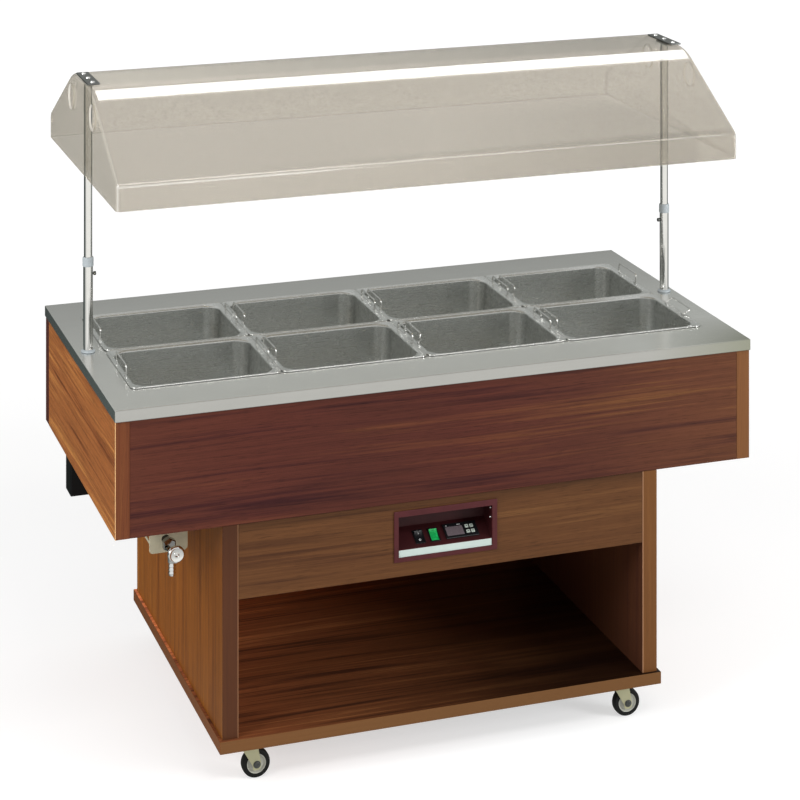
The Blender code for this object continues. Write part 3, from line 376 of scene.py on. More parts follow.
def smoke():
    """Smoked acrylic: a tint that the first wall in front of the camera gives, a little haze, a polished face."""
    m = Mat("smoke_acrylic")
    co = m.coords()
    cloud = m.noise(co, 3.0, 2.0, 0.5)
    scuff = m.noise(m.mapping(co, scale=(0.05, 1, 1)), 240.0, 3.0, 0.7)
    # painted highlight: the edge attribute whitens the base colour and makes the sheet more opaque along the bends, the
    # ends and the lower edge
    edge = m.node("ShaderNodeAttribute", {"attribute_name": "edge"}).outputs["Fac"]
    lp = m.node("ShaderNodeLightPath")
    first = m.math("LESS_THAN", lp.outputs["Transparent Depth"], 1.5)
    base = m.ramp(cloud, [(0.3, lin(172, 164, 148)), (0.7, lin(180, 172, 156))])
    m.set(Base_Color=m.mix(edge, base, lin(252, 252, 250)), Roughness=m.lerp(scuff, 0.03, 0.06), IOR=1.49)
    clear = m.node("ShaderNodeBsdfTransparent")
    nrm = m.node("ShaderNodeSeparateXYZ")
    m.put(nrm.inputs[0], m.node("ShaderNodeNewGeometry").outputs["True Normal"])
    end_face = m.math("GREATER_THAN", m.math("ABSOLUTE", nrm.outputs[0]), 0.9)
    wall = m.mix(end_face, (0.722, 0.698, 0.656), (0.870, 0.842, 0.792))
    # the flat top is a little paler towards the left; the front slope and lip deepen towards the right
    place = m.node("ShaderNodeSeparateXYZ")
    m.put(place.inputs[0], co)

    def between(sock, a, b, lo=0.0, hi=1.0):
        r = m.lerp(sock, lo, hi)
        r.node.inputs[1].default_value, r.node.inputs[2].default_value = a, b
        return r
    f_lo, f_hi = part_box("hood_shell")
    mid = (f_lo.y + f_hi.y) / 2
    flat = m.math("MULTIPLY", between(m.math("ABSOLUTE", nrm.outputs[2]), 0.95, 0.998), between(place.outputs[0], -0.6, 0.5, 0.30, 0.04))
    low = m.math("MULTIPLY", between(place.outputs[0], 0.02, 0.42), between(place.outputs[1], mid - 0.20, mid - 0.27))
    low = m.math("MULTIPLY", low, between(m.math("ADD", m.math("MULTIPLY", place.outputs[1], 1.32), place.outputs[0]), 0.134, 0.122, 0.35, 1.0))
    lip = m.math("MULTIPLY", between(place.outputs[0], -0.45, 0.45, 0.01, 0.10), between(place.outputs[1], f_lo.y + 0.022, f_lo.y + 0.012))
    lip = m.math("MULTIPLY", lip, m.math("SUBTRACT", 1.0, end_face))
    deep = m.math("SUBTRACT", m.math("ADD", 1.0, flat), m.math("MULTIPLY", low, 0.10))
    deep = m.math("SUBTRACT", deep, lip)
    wall = m.mix(1.0, wall, deep, "MULTIPLY")
    tint = m.mix(first, (0.988, 0.986, 0.982), wall)
    m.put(clear.inputs[0], tint)
    body = m.math("ADD", m.math("MULTIPLY", first, 0.17), 0.015)
    body = m.math("ADD", body, m.math("MULTIPLY", scuff, 0.008))
    body = m.math("ADD", body, m.math("MULTIPLY", edge, 0.62), clamp=True)
    mix = m.node("ShaderNodeMixShader")
    m.put(mix.inputs[0], body)
    m.put(mix.inputs[1], clear.outputs[0])
    m.put(mix.inputs[2], m.p.outputs[0])
    gl = m.node("ShaderNodeBsdfGlossy")
    gl.inputs["Roughness"].default_value = 0.05
    face = m.node("ShaderNodeLayerWeight")
    graze = m.math("POWER", face.outputs["Facing"], 5.0)
    graze = m.math("MULTIPLY", graze, m.math("GREATER_THAN", nrm.outputs[2], -0.2))      # not on the underside, seen through the end holes
    mix2 = m.node("ShaderNodeMixShader")
    m.put(mix2.inputs[0], m.math("ADD", m.math("MULTIPLY", m.math("ADD", m.math("MULTIPLY", graze, 0.50), 0.036), first), 0.006))
    m.put(mix2.inputs[1], mix.outputs[0])
    m.put(mix2.inputs[2], gl.outputs[0])
    m.t.links.new(mix2.outputs[0], m.out.inputs["Surface"])
    return m


ACRYL = smoke()
# pale colour for the end holes' cut edges: a painted highlight
HOLE_RIM_HIGHLIGHT = plastic("acrylic_hole_rim_painted_highlight", lin(226, 222, 214), 0.20, 900.0, 0.02, vary=0.03)


# --------------------------------------------------------------- mesh helpers
def add(ob, mat, body, weighted=True, smooth=32.0):
    me = ob.data
    if smooth is not None:
        me.shade_smooth()
        me.set_sharp_from_angle(angle=math.radians(smooth))
    me.materials.clear()
    for m in (mat if isinstance(mat, (list, tuple)) else (mat,)):
        me.materials.append(m.m)
    if ob.name not in bpy.context.scene.collection.objects:
        bpy.context.scene.collection.objects.link(ob)
    if weighted:
        w = ob.modifiers.new("Normals", "WEIGHTED_NORMAL")
        w.keep_sharp = True
        w.weight = 50
    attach(ob, body)
    return ob


def from_bm(name, bm, recalc=True):
    if recalc:
        bmesh.ops.recalc_face_normals(bm, faces=bm.faces)
    me = bpy.data.meshes.new(name)
    bm.to_mesh(me)
    bm.free()
    return bpy.data.objects.new(name, me)


def fillet(points, radii, seg=6, closed=True):
    """Round the corners of a flat outline. radii is one number or one for each corner."""
    n = len(points)
    if isinstance(radii, (int, float)):
        radii = [radii] * n
    out = []
    for i in range(n):
        p = Vector(points[i])
        r = radii[i]
        if (not closed and i in (0, n - 1)) or r <= 0:
            out.append((p.x, p.y))
            continue
        a, b = Vector(points[i - 1]), Vector(points[(i + 1) % n])
        u, w = (a - p).normalized(), (b - p).normalized()
        dot = max(-1.0, min(1.0, u.dot(w)))
        half = math.acos(dot) / 2
        if abs(half - math.pi / 2) < 1e-4:
            out.append((p.x, p.y))
            continue
        d = min(r / math.tan(half), (a - p).length * 0.499, (b - p).length * 0.499)
        rr = d * math.tan(half)
        c = p + (u + w).normalized() * (rr / math.sin(half))
        s, e = p + u * d - c, p + w * d - c
        ang = math.atan2(s.x * e.y - s.y * e.x, s.dot(e))
        k = max(2, int(seg))
        for j in range(k + 1):
            t = ang * j / k
            out.append((c.x + s.x * math.cos(t) - s.y * math.sin(t), c.y + s.x * math.sin(t) + s.y * math.cos(t)))
    return out


def lathe(name, profile, segs, at, axis="Z", start=0.0):
    """Turn a profile of (radius, height) round an axis. The first and last points may lie on the axis."""
    bm = bmesh.new()
    closed = (Vector(profile[0]) - Vector(profile[-1])).length < 1e-9
    pts = profile[:-1] if closed else profile
    rings = []
    for r, z in pts:
        if r < 1e-7:
            rings.append([bm.verts.new((0, 0, z))])
        else:
            rings.append([bm.verts.new((r * math.cos(start + 2 * math.pi * k / segs), r * math.sin(start + 2 * math.pi * k / segs), z)) for k in range(segs)])
    pairs = list(zip(rings, rings[1:])) + ([(rings[-1], rings[0])] if closed else [])
    for a, b in pairs:
        if len(a) == 1 and len(b) == 1:
            continue
        for k in range(segs):
            k2 = (k + 1) % segs
            if len(a) == 1:
                bm.faces.new((a[0], b[k], b[k2]))
            elif len(b) == 1:
                bm.faces.new((a[k2], a[k], b[0]))
            else:
                bm.faces.new((a[k], b[k], b[k2], a[k2]))
    if not closed:
        for ring in (rings[0], rings[-1]):
            if len(ring) > 1:
                bm.faces.new(ring)
    rot = {"Z": Matrix.Identity(4), "Y": Matrix.Rotation(math.pi / 2, 4, "X"), "X": Matrix.Rotation(math.pi / 2, 4, "Y"), "-X": Matrix.Rotation(-math.pi / 2, 4, "Y")}[axis]
    bmesh.ops.transform(bm, verts=bm.verts, matrix=Matrix.Translation(at) @ rot)
    return from_bm(name, bm)


def slab(name, outline, t0, t1, edge=0.0, seg=2, matrix=None, holes=()):
    """A flat outline given thickness along its local Z, edges rounded."""
    bm = bmesh.new()
    vs = [bm.verts.new((x, y, t0)) for x, y in outline]
    f = bm.faces.new(vs)
    f.normal_update()
    if f.normal.z > 0:
        f.normal_flip()
    res = bmesh.ops.extrude_face_region(bm, geom=[f])
    top = [g for g in res["geom"] if isinstance(g, bmesh.types.BMVert)]
    bmesh.ops.translate(bm, verts=top, vec=(0, 0, t1 - t0))
    bmesh.ops.recalc_face_normals(bm, faces=bm.faces)
    if edge > 0:
        rim = [e for e in bm.edges if abs(e.verts[0].co.z - e.verts[1].co.z) < 1e-9]
        bmesh.ops.bevel(bm, geom=rim, offset=edge, segments=seg, profile=0.5, affect="EDGES", clamp_overlap=True)
    if matrix is not None:
        bmesh.ops.transform(bm, verts=bm.verts, matrix=matrix)
    return from_bm(name, bm)


def block(name, lo, hi, edge=0.0, seg=2, matrix=None):
    bm = bmesh.new()
    bmesh.ops.create_cube(bm, size=1.0)
    bmesh.ops.scale(bm, vec=[hi[i] - lo[i] for i in range(3)], verts=bm.verts)
    bmesh.ops.translate(bm, vec=[(hi[i] + lo[i]) / 2 for i in range(3)], verts=bm.verts)
    if edge:
        bmesh.ops.bevel(bm, geom=list(bm.edges), offset=edge, segments=seg, profile=0.5, affect="EDGES", clamp_overlap=True)
    if matrix is not None:
        bmesh.ops.transform(bm, verts=bm.verts, matrix=matrix)
    return from_bm(name, bm)


def sweep(name, pts, r, sides=12, closed=False):
    """A round wire along a path."""
    pts = [Vector(p) for p in pts]
    n = len(pts)
    tang = []
    for i in range(n):
        a = pts[i - 1] if (i > 0 or closed) else pts[i]
        b = pts[(i + 1) % n] if (i < n - 1 or closed) else pts[i]
        tang.append((b - a).normalized())
    ref = Vector((0, 0, 1)) if abs(tang[0].z) < 0.9 else Vector((1, 0, 0))
    nrm = (ref - tang[0] * ref.dot(tang[0])).normalized()
    bm = bmesh.new()
    rings = []
    for i in range(n):
        nrm = (nrm - tang[i] * nrm.dot(tang[i])).normalized()
        bi = tang[i].cross(nrm)
        rings.append([bm.verts.new(pts[i] + (nrm * math.cos(2 * math.pi * k / sides) + bi * math.sin(2 * math.pi * k / sides)) * r) for k in range(sides)])
    for i in range(n if closed else n - 1):
        a, b = rings[i], rings[(i + 1) % n]
        for k in range(sides):
            bm.faces.new((a[k], a[(k + 1) % sides], b[(k + 1) % sides], b[k]))
    if not closed:
        bm.faces.new(rings[0][::-1])
        bm.faces.new(rings[-1])
    return from_bm(name, bm)


def join(name, parts):
    """Several meshes as one piece."""
    bm = bmesh.new()
    for p in parts:
        me = p.data
        tmp = bmesh.new()
        tmp.from_mesh(me)
        bmesh.ops.transform(tmp, verts=tmp.verts, matrix=p.matrix_basis)
        m2 = bpy.data.meshes.new("tmp")
        tmp.to_mesh(m2)
        tmp.free()
        bm.from_mesh(m2)
        bpy.data.meshes.remove(m2)
        bpy.data.objects.remove(p)
        bpy.data.meshes.remove(me)
    return from_bm(name, bm, recalc=False)


def cut(ob, others, op="DIFFERENCE"):
    """Boolean, applied at once; the tools are removed."""
    bpy.context.scene.collection.objects.link(ob)
    for o in others:
        bpy.context.scene.collection.objects.link(o)
        md = ob.modifiers.new("b", "BOOLEAN")
        md.operation, md.solver, md.object = op, "EXACT", o
    dg = bpy.context.evaluated_depsgraph_get()
    dg.update()
    me = bpy.data.meshes.new_from_object(ob.evaluated_get(dg))
    ob.modifiers.clear()
    old = ob.data
    ob.data = me
    me.name = ob.name
    bpy.data.meshes.remove(old)
    for o in others:
        m = o.data
        bpy.data.objects.remove(o)
        bpy.data.meshes.remove(m)
    return ob


def rrect(hx, hy, r, n):
    """A rounded rectangle, corner by corner, anticlockwise from +X +Y."""
    out = []
    for cx, cy, a0 in ((hx - r, hy - r, 0), (-(hx - r), hy - r, 90), (-(hx - r), -(hy - r), 180), (hx - r, -(hy - r), 270)):
        for k in range(n + 1):
            a = math.radians(a0 + 90.0 * k / n)
            out.append((cx + r * math.cos(a), cy + r * math.sin(a)))
    return out


def dress(node, mat, edge=None, seg=2, angle=30.0):
    """Give a CAD node its material, and soften its edges with modifiers only."""
    o = NODES[node]
    o.data.materials.clear()
    o.data.materials.append(mat.m)
    if edge:
        w = o.modifiers.new("Weld", "WELD")
        w.merge_threshold = 0.00002
        b = o.modifiers.new("Bevel", "BEVEL")
        b.width, b.segments = edge, seg
        b.limit_method, b.angle_limit = "ANGLE", math.radians(angle)
        b.harden_normals = False
    n = o.modifiers.new("Normals", "WEIGHTED_NORMAL")
    n.keep_sharp = True
    for p in o.data.polygons:
        p.use_smooth = True
    return o


# --------------------------------------------------------------- boards
def board(node, mat, edge=0.0011, seg=2):
    """A board or panel rebuilt with softened edges, on the CAD node's own box."""
    lo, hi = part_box(node)
    o = block(node + "_board", lo, hi, edge, seg)
    add(o, mat, "unit")
    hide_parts(node)
    return o


c_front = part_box("control_bezel")[0].y
TAG = [(f, s) for s in ("left", "right") for f in ("front", "back")]

lo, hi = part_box("left_apron")
with_edge(SIDE, None, None, [("Y", None, lo.y + 0.0012)], lin(89, 46, 29), 0.82)
# painted highlight: a pale line down the left apron's rounded front corner
with_edge(SIDE, None, None, [("X", None, lo.x + 0.0012), ("Y", None, lo.y + 0.0018)], lin(220, 176, 124), 0.9)
lo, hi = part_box("right_apron")
with_edge(SIDE_R, None, None, [("Y", None, lo.y + 0.0012)], lin(95, 63, 37), 0.82)
lo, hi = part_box("left_side_panel")
with_edge(SIDEP, None, None, [("Y", None, lo.y + 0.0012)], lin(78, 46, 32), 0.88)
# painted highlight: a pale line down the left side panel's inner front corner
with_edge(SIDEP, None, None, [("Y", None, lo.y + 0.0016), ("X", hi.x - 0.0022, None)], lin(150, 108, 76), 0.8)
lo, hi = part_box("right_side_panel")
with_edge(SIDEPR, None, None, [("Y", None, lo.y + 0.0012)], lin(92, 58, 30), 0.80)
# painted highlight: a pale line down the right side panel's inner front corner
with_edge(SIDEPR, None, None, [("Y", None, lo.y + 0.0016), ("X", None, lo.x + 0.0022)], lin(150, 112, 84), 0.8)
# painted shade: the right side panel's inner face, towards the compartment, is a darker wine brown
with_edge(SIDEPR, None, None, [("Y", lo.y + 0.0012, None), ("X", None, lo.x + 0.0010)], lin(58, 32, 30), 0.80)

def shade(m, axis, a, b, fa, fb):
    """Paint shade into a material: darken it between two places along an axis, as in the shade of the part above."""
    sp = m.node("ShaderNodeSeparateXYZ")
    m.put(sp.inputs[0], m.coords())
    g = m.lerp(sp.outputs[AX[axis]], fa, fb)
    g.node.inputs[1].default_value, g.node.inputs[2].default_value = a, b
    m.put(m.p.inputs["Base Color"], m.mix(1.0, m.p.inputs["Base Color"].links[0].from_socket, g, "MULTIPLY"))


def tone(m, axis, a, b, stops):
    """Paint light and shade into a material's colour along an axis between two places. Stops are (place in the stretch,
    factor).
    """
    sp = m.node("ShaderNodeSeparateXYZ")
    m.put(sp.inputs[0], m.coords())
    t = m.lerp(sp.outputs[AX[axis]], 0.0, 1.0)
    t.node.inputs[1].default_value, t.node.inputs[2].default_value = a, b
    top = 4.0
    r = m.ramp(t, [(q, tuple(c / top for c in f) if isinstance(f, tuple) else f / top) for q, f in stops])
    old = m.p.inputs["Base Color"].links[0].from_socket
    m.put(m.p.inputs["Base Color"], m.mix(1.0, m.mix(1.0, old, r, "MULTIPLY"), (top, top, top), "MULTIPLY"))


lo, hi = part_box("fascia_panel")
# painted shadow of the apron across the fascia's top, and painted shade darkening the fascia a little towards the right
shade(FASC, "Z", hi.z - 0.024, hi.z - 0.002, 1.0, 0.60)
shade(FASC, "X", -0.45, 0.30, 0.84, 0.78)
# painted light: the back panel's face towards the compartment is 3.2 times lighter, its outer face 0.55 times darker
nsep = BACKP.node("ShaderNodeSeparateXYZ")
BACKP.put(nsep.inputs[0], BACKP.node("ShaderNodeNewGeometry").outputs["True Normal"])
inside = BACKP.lerp(BACKP.math("LESS_THAN", nsep.outputs[1], -0.5), 0.55, 3.2)
BACKP.put(BACKP.p.inputs["Base Color"], BACKP.mix(1.0, BACKP.p.inputs["Base Color"].links[0].from_socket, inside, "MULTIPLY"))
lo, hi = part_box("left_side_panel")
# painted shade: the left side panel darkens towards its top, in the apron's shadow, and towards its front
shade(SIDEP, "Z", 0.42, 0.545, 1.0, 0.72)
shade(SIDEP, "Y", hi.y - 0.40, lo.y + 0.02, 1.06, 0.80)
lo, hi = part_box("front_apron")
# painted light and shade across the front apron: lighter at the left, darkest in the middle, lighter and more orange at
# the right, as lit from the right
tone(FRONT, "X", -0.70, 0.70, [(0.0, (1.10, 1.18, 0.96)), (0.20, (0.94, 0.92, 0.84)), (0.38, (0.78, 0.78, 0.72)), (0.55, (0.86, 0.84, 0.76)),
                               (0.72, (0.84, 0.94, 0.78)), (0.90, (1.12, 1.45, 0.98)), (1.0, (1.18, 1.60, 1.02))])
# painted shade in the control recess: the maroon darkens with depth behind the bezel's front
shade(MAROON, "Y", c_front + 0.0035, c_front + 0.0060, 0.80, 0.42)

lo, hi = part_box("base_board")
# painted light and shade on the base board: lighter at the left, darkening to the right where the right panel's shadow
# falls on the shelf, and on its top lighter towards the back
_sp = BASE.node("ShaderNodeSeparateXYZ")
BASE.put(_sp.inputs[0], BASE.coords())
tone(BASE, "X", -0.45, 0.45, [(0.0, (2.5, 2.3, 2.3)), (0.25, 1.60), (0.48, 0.82), (0.66, 0.34), (0.85, 0.16), (1.0, 0.16)])
_shelf_painted_light = BASE.lerp(_sp.outputs[1], 0.0, 1.0)
_shelf_painted_light.node.inputs[1].default_value, _shelf_painted_light.node.inputs[2].default_value = lo.y + 0.05, lo.y + 0.65
_shelf_painted_light = BASE.lerp(BASE.math("POWER", _shelf_painted_light, 1.6), 0.80, 3.6)
_bn = BASE.node("ShaderNodeSeparateXYZ")
BASE.put(_bn.inputs[0], BASE.node("ShaderNodeNewGeometry").outputs["True Normal"])
_top = BASE.math("GREATER_THAN", _bn.outputs[2], 0.5)
_shelf_painted_light = BASE.math("ADD", 1.0, BASE.math("MULTIPLY", _top, BASE.math("SUBTRACT", _shelf_painted_light, 1.0)))
BASE.put(BASE.p.inputs["Base Color"], BASE.mix(1.0, BASE.p.inputs["Base Color"].links[0].from_socket, _shelf_painted_light, "MULTIPLY"))
with_edge(BASE, None, None, [("Y", None, lo.y + 0.0008)], lin(106, 72, 40), 0.92)
with_edge(BASE, None, None, [("X", None, lo.x + 0.0008)], lin(112, 66, 30), 0.97)
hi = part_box("base_board")[1]
with_edge(BASE, None, None, [("X", hi.x - 0.0008, None)], lin(96, 60, 34), 0.92)
with_edge(BASE, None, None, [("Y", hi.y - 0.0008, None)], lin(88, 54, 32), 0.92)
for node, mat in (("base_board", BASE), ("left_side_panel", SIDEP), ("right_side_panel", SIDEPR),
                  ("cabinet_back_panel", BACKP), ("compartment_ceiling", INNER),
                  ("front_apron", FRONT), ("back_apron", BACKM)):
    board(node, mat, 0.0014 if node in ("base_board",) else 0.0010)
for node, mat in (("left_apron", SIDE), ("right_apron", SIDE_R), ("fascia_panel", FASC), ("box_floor", INNER)):
    dress(node, mat, 0.0008, 2)

dress("worktop", STEEL, None)
dress("well_tank", TANKSTEEL, None)
dress("well_insulation", WOOL, None)
dress("terminal_box", BLACK, None)
for i in (1, 2, 3):
    dress("crossbar_%d" % i, BARSTEEL, None)


# --------------------------------------------------------------- pans
def pan_mesh(name, cx, cy, z0):
    """A half-size pan: rolled rim, sloping flange, tapered wall, coved floor."""
    hx, hy = 0.1622, 0.1322
    n = 9
    rings = []

    def ring(x, y, r, z):
        rings.append([(cx + px, cy + py, z0 + z) for px, py in rrect(x, y, r, n)])
    # the rim turns down outside, rolls over, then slopes a little inwards
    for a in range(0, 91, 15):
        t = math.radians(a)
        d = 0.0022 * (1 - math.cos(t))
        ring(hx - d, hy - d, 0.0150 - d, 0.0004 + 0.0022 * math.sin(t) - 0.0006 + 0.0004)
    rings_top = 0.0024
    ring(hx - 0.0065, hy - 0.0065, 0.0140, rings_top - 0.0003)
    ring(hx - 0.0080, hy - 0.0080, 0.0160, rings_top - 0.0008)
    bx, by = 0.1500, 0.1200
    for a in range(0, 91, 18):                     # throat
        t = math.radians(a)
        d = 0.0038 * math.sin(t)
        ring(bx + 0.0038 - d, by + 0.0038 - d, 0.0345 - d * 0.3, rings_top - 0.0014 - 0.0038 * (1 - math.cos(t)))
    ring(bx - 0.0030, by - 0.0030, 0.0310, -0.050)
    ring(bx - 0.0050, by - 0.0050, 0.0290, -0.078)
    R = 0.017
    for a in range(0, 91, 15):                     # coved floor
        t = math.radians(a)
        d = R * (1 - math.cos(t))
        ring(bx - 0.0058 - d, by - 0.0058 - d, max(0.0285 - d * 0.62, 0.010), -0.0825 - R * math.sin(t) + 0.0)
    bm = bmesh.new()
    vr = [[bm.verts.new(p) for p in r] for r in rings]
    m = len(vr[0])
    for a, b in zip(vr, vr[1:]):
        for k in range(m):
            bm.faces.new((a[k], a[(k + 1) % m], b[(k + 1) % m], b[k]))
    # floor, drawn in once for a faint crown
    inner = [bm.verts.new((cx + (v.co.x - cx) * 0.55, cy + (v.co.y - cy) * 0.55, v.co.z + 0.0007)) for v in vr[-1]]
    for k in range(m):
        bm.faces.new((vr[-1][k], vr[-1][(k + 1) % m], inner[(k + 1) % m], inner[k]))
    bm.faces.new(inner)
    bmesh.ops.recalc_face_normals(bm, faces=bm.faces)
    bm.normal_update()
    base = min(bm.faces, key=lambda q: q.calc_center_median().z)
    if base.normal.z < 0:
        bmesh.ops.reverse_faces(bm, faces=bm.faces)
    ob = from_bm(name, bm, recalc=False)
    s = ob.modifiers.new("Sheet", "SOLIDIFY")
    s.thickness, s.offset, s.use_even_offset = 0.0008, -1.0, False
    return ob


HANDLE_LEAN = {}
PANS = []
for row in ("back", "front"):
    for i in range(1, 5):
        HANDLE_LEAN[(row, i, -1)] = random.uniform(-10, 6)
        HANDLE_LEAN[(row, i, 1)] = random.uniform(-10, 6)
HANDLE_LEAN[("front", 4, 1)] = 62.0
HANDLE_LEAN[("back", 4, 1)] = 4.0

for row in ("back", "front"):
    for i in range(1, 5):
        node = "pan_%s_%d" % (row, i)
        lo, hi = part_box(node)
        cx, cy = (lo.x + hi.x) / 2, (lo.y + hi.y) / 2
        z0 = hi.z - 0.0010
        p = pan_mesh(node + "_body", cx, cy, z0)
        add(p, PANSTEEL, node, smooth=40)
        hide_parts(node)
        PANS.append(p)
        rim_path = [(cx + px, cy + py, z0 + 0.0016) for px, py in rrect(0.1611, 0.1311, 0.0140, 9)]
        add(sweep(node + "_bead", rim_path, 0.0012, 8, closed=True), WIRE, node, weighted=False, smooth=60)
        # a folding wire handle on each short side, in two small keepers
        for s in (-1, 1):
            hxp = cx + s * 0.1545
            L, H, rc, r = 0.052, 0.021, 0.0065, 0.0016
            path = [(-L, 0.0)]
            path += fillet([(-L, 0.0), (-L + 0.004, H), (L - 0.004, H), (L, 0.0)], rc, 6, closed=False)[1:-1]
            path += [(L, 0.0)]
            lean = math.radians(HANDLE_LEAN[(row, i, s)])
            pts = [(hxp + s * z * math.sin(lean), cy + y, z0 + 0.0042 + z * math.cos(lean)) for y, z in path]
            # the ends turn into the keepers
            pts = [(hxp, cy - L + 0.009, z0 + 0.0042)] + [(hxp, cy - L + 0.003, z0 + 0.0042)] + pts[1:-1] + [(hxp, cy + L - 0.003, z0 + 0.0042), (hxp, cy + L - 0.009, z0 + 0.0042)]
            w = sweep("wire_%s_%d_%s" % (row, i, "l" if s < 0 else "r"), pts, r, 10)
            k1 = sweep("k1", [(hxp, cy - L + 0.0045, z0 + 0.0042), (hxp, cy - L + 0.0125, z0 + 0.0042)], 0.0026, 12)
            k2 = sweep("k2", [(hxp, cy + L - 0.0125, z0 + 0.0042), (hxp, cy + L - 0.0045, z0 + 0.0042)], 0.0026, 12)
            h = join("handle_%s_%d_%s" % (row, i, "left" if s < 0 else "right"), [w, k1, k2])
            add(h, WIRE, node, weighted=False, smooth=50)


# --------------------------------------------------------------- posts
def ring_profile(pts, seg=4):
    return pts


for side, s in (("left", -1), ("right", 1)):
    lo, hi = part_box("post_lower_" + side)
    px, py = (lo.x + hi.x) / 2, (lo.y + hi.y) / 2
    ulo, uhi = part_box("post_upper_" + side)
    ztop = hi.z
    R1, R0 = 0.0105, 0.0091
    # lower tube, from its floor under the worktop to the collar
    tube = lathe("post_tube_" + side, [(R0, ztop - 0.0195), (R1, ztop - 0.0195), (R1, lo.z + 0.001), (R1 - 0.001, lo.z), (0, lo.z), (0, lo.z + 0.003), (R0, lo.z + 0.003), (R0, ztop - 0.0195)], 40, (px, py, 0))
    hole = lathe("h", [(0, 0.006), (0.0024, 0.006), (0.0024, -0.006), (0, -0.006)], 18, (px - s * 0.0098, py, 0.974), "X")
    tube = cut(tube, [hole])
    add(tube, CHROME, "unit")
    PANS.append(tube)
    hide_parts("post_lower_" + side)
    foot = lathe("post_foot_" + side, [(R1 + 0.0001, TOP_Z + 0.0056), (0.0118, TOP_Z + 0.0054), (0.0145, TOP_Z + 0.0040), (0.0154, TOP_Z + 0.0026), (0.0155, TOP_Z + 0.0006), (0.0150, TOP_Z + 0.0002),
                                              (R1 + 0.0001, TOP_Z + 0.0002), (R1 + 0.0001, TOP_Z + 0.0056)], 40, (px, py, 0))
    add(foot, COLLAR, "unit")
    c0, c1 = ztop - 0.0200, ztop
    prof = [(R1 + 0.0002, c0), (0.0114, c0), (0.0120, c0 + 0.0010), (0.0120, c0 + 0.0060), (0.0117, c0 + 0.0068), (0.0117, c0 + 0.0086), (0.0120, c0 + 0.0094),
            (0.0120, c1 - 0.0026), (0.0112, c1 - 0.0008), (0.0102, c1), (0.0093, c1 - 0.0003), (0.0093, c0 + 0.0006), (R1 + 0.0002, c0)]
    col = lathe("post_collar_" + side, prof, 40, (px, py, 0))
    add(col, COLLAR, "unit")
    # upper rod, with a fitting under the hood's roof
    zt = uhi.z
    rod = lathe("post_rod_" + side, [(0, zt - 0.0040), (0.0072, zt - 0.0040), (0.0090, zt - 0.0058), (0.0090, ulo.z + 0.0015), (0.0078, ulo.z), (0, ulo.z)], 40, (px, py, 0))
    add(rod, CHROME, "hood")
    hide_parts("post_upper_" + side)
    cap = block("rod_fitting_" + side, (px - 0.0075, py - 0.030, zt - 0.0042), (px + 0.0075, py + 0.030, zt - 0.0002), 0.0010, 2)
    add(cap, CHROME, "hood")
    # lock screw: knurled head and shank
    llo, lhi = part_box("lock_screw_" + side)
    x_in, x_out = (llo.x, lhi.x) if s < 0 else (lhi.x, llo.x)
    lz, ly = (llo.z + lhi.z) / 2, (llo.y + lhi.y) / 2
    d = -s                                          # the way the head points
    n = 24
    bm = bmesh.new()
    secs = [(0.0020, 0.0000, 0), (0.0020, 0.0022, 0), (0.0038, 0.0024, 0), (0.0044, 0.0030, 1), (0.0044, 0.0064, 1), (0.0039, 0.0074, 0), (0.0029, 0.0078, 0), (0.0027, 0.0074, 0)]
    rr = []
    for r, x, kn in secs:
        rr.append([bm.verts.new((x_in + d * x, ly + (r - (0.00045 if kn and k % 2 else 0)) * math.cos(2 * math.pi * k / n), lz + (r - (0.00045 if kn and k % 2 else 0)) * math.sin(2 * math.pi * k / n))) for k in range(n)])
    for a, b in zip(rr, rr[1:]):
        for k in range(n):
            bm.faces.new((a[k], a[(k + 1) % n], b[(k + 1) % n], b[k]))
    bm.faces.new(rr[0])
    bm.faces.new(rr[-1])
    scr = from_bm("lock_knob_" + side, bm)
    add(scr, DARKM, "lock_screw_" + side, smooth=25)
    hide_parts("lock_screw_" + side)

# --------------------------------------------------------------- hood
h_lo, h_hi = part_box("hood_shell")
hy, half = (h_lo.y + h_hi.y) / 2, (h_hi.y - h_lo.y) / 2
hz0, hz1 = h_lo.z, h_hi.z
HX = h_hi.x
SLOPE = math.radians(28.6)


def hood_section(inset, n_top=10, n_lip=6):
    """Half of the hood's section from the lower front edge to the middle: (outward y, z), moved in by inset."""
    lip_z = hz0 + 0.058
    y_out, zt = half, hz1
    # corner points: foot of the lip, lip meets slope, slope meets the flat top
    run = (zt - lip_z) / math.tan(SLOPE)
    pts = [(-y_out, hz0), (-y_out, lip_z), (-y_out + run, zt), (0.0, zt)]
    r_lip, r_top = 0.020, 0.165
    out = [(-(y_out - inset), hz0), (-(y_out - inset), hz0 + 0.0016)]

    def arc_corner(p, q, w, r, n):
        p, q, w = Vector(p), Vector(q), Vector(w)
        u, v = (p - q).normalized(), (w - q).normalized()
        half_a = math.acos(max(-1, min(1, u.dot(v)))) / 2
        d = r / math.tan(half_a)
        c = q + (u + v).normalized() * (r / math.sin(half_a))
        s, e = q + u * d - c, q + v * d - c
        ang = math.atan2(s.x * e.y - s.y * e.x, s.dot(e))
        res = []
        for j in range(n + 1):
            t = ang * j / n
            rv = Vector((s.x * math.cos(t) - s.y * math.sin(t), s.x * math.sin(t) + s.y * math.cos(t)))
            rv = rv * ((r - inset) / r)
            res.append((c.x + rv.x, c.y + rv.y))
        return res
    out += arc_corner(pts[0], pts[1], pts[2], r_lip, n_lip)
    out += arc_corner(pts[1], pts[2], pts[3], r_top, n_top)
    return out


FADE = {-0.30: 1.0, -0.14: 0.30, 0.02: 0.0}       # how the lip's painted highlight runs out


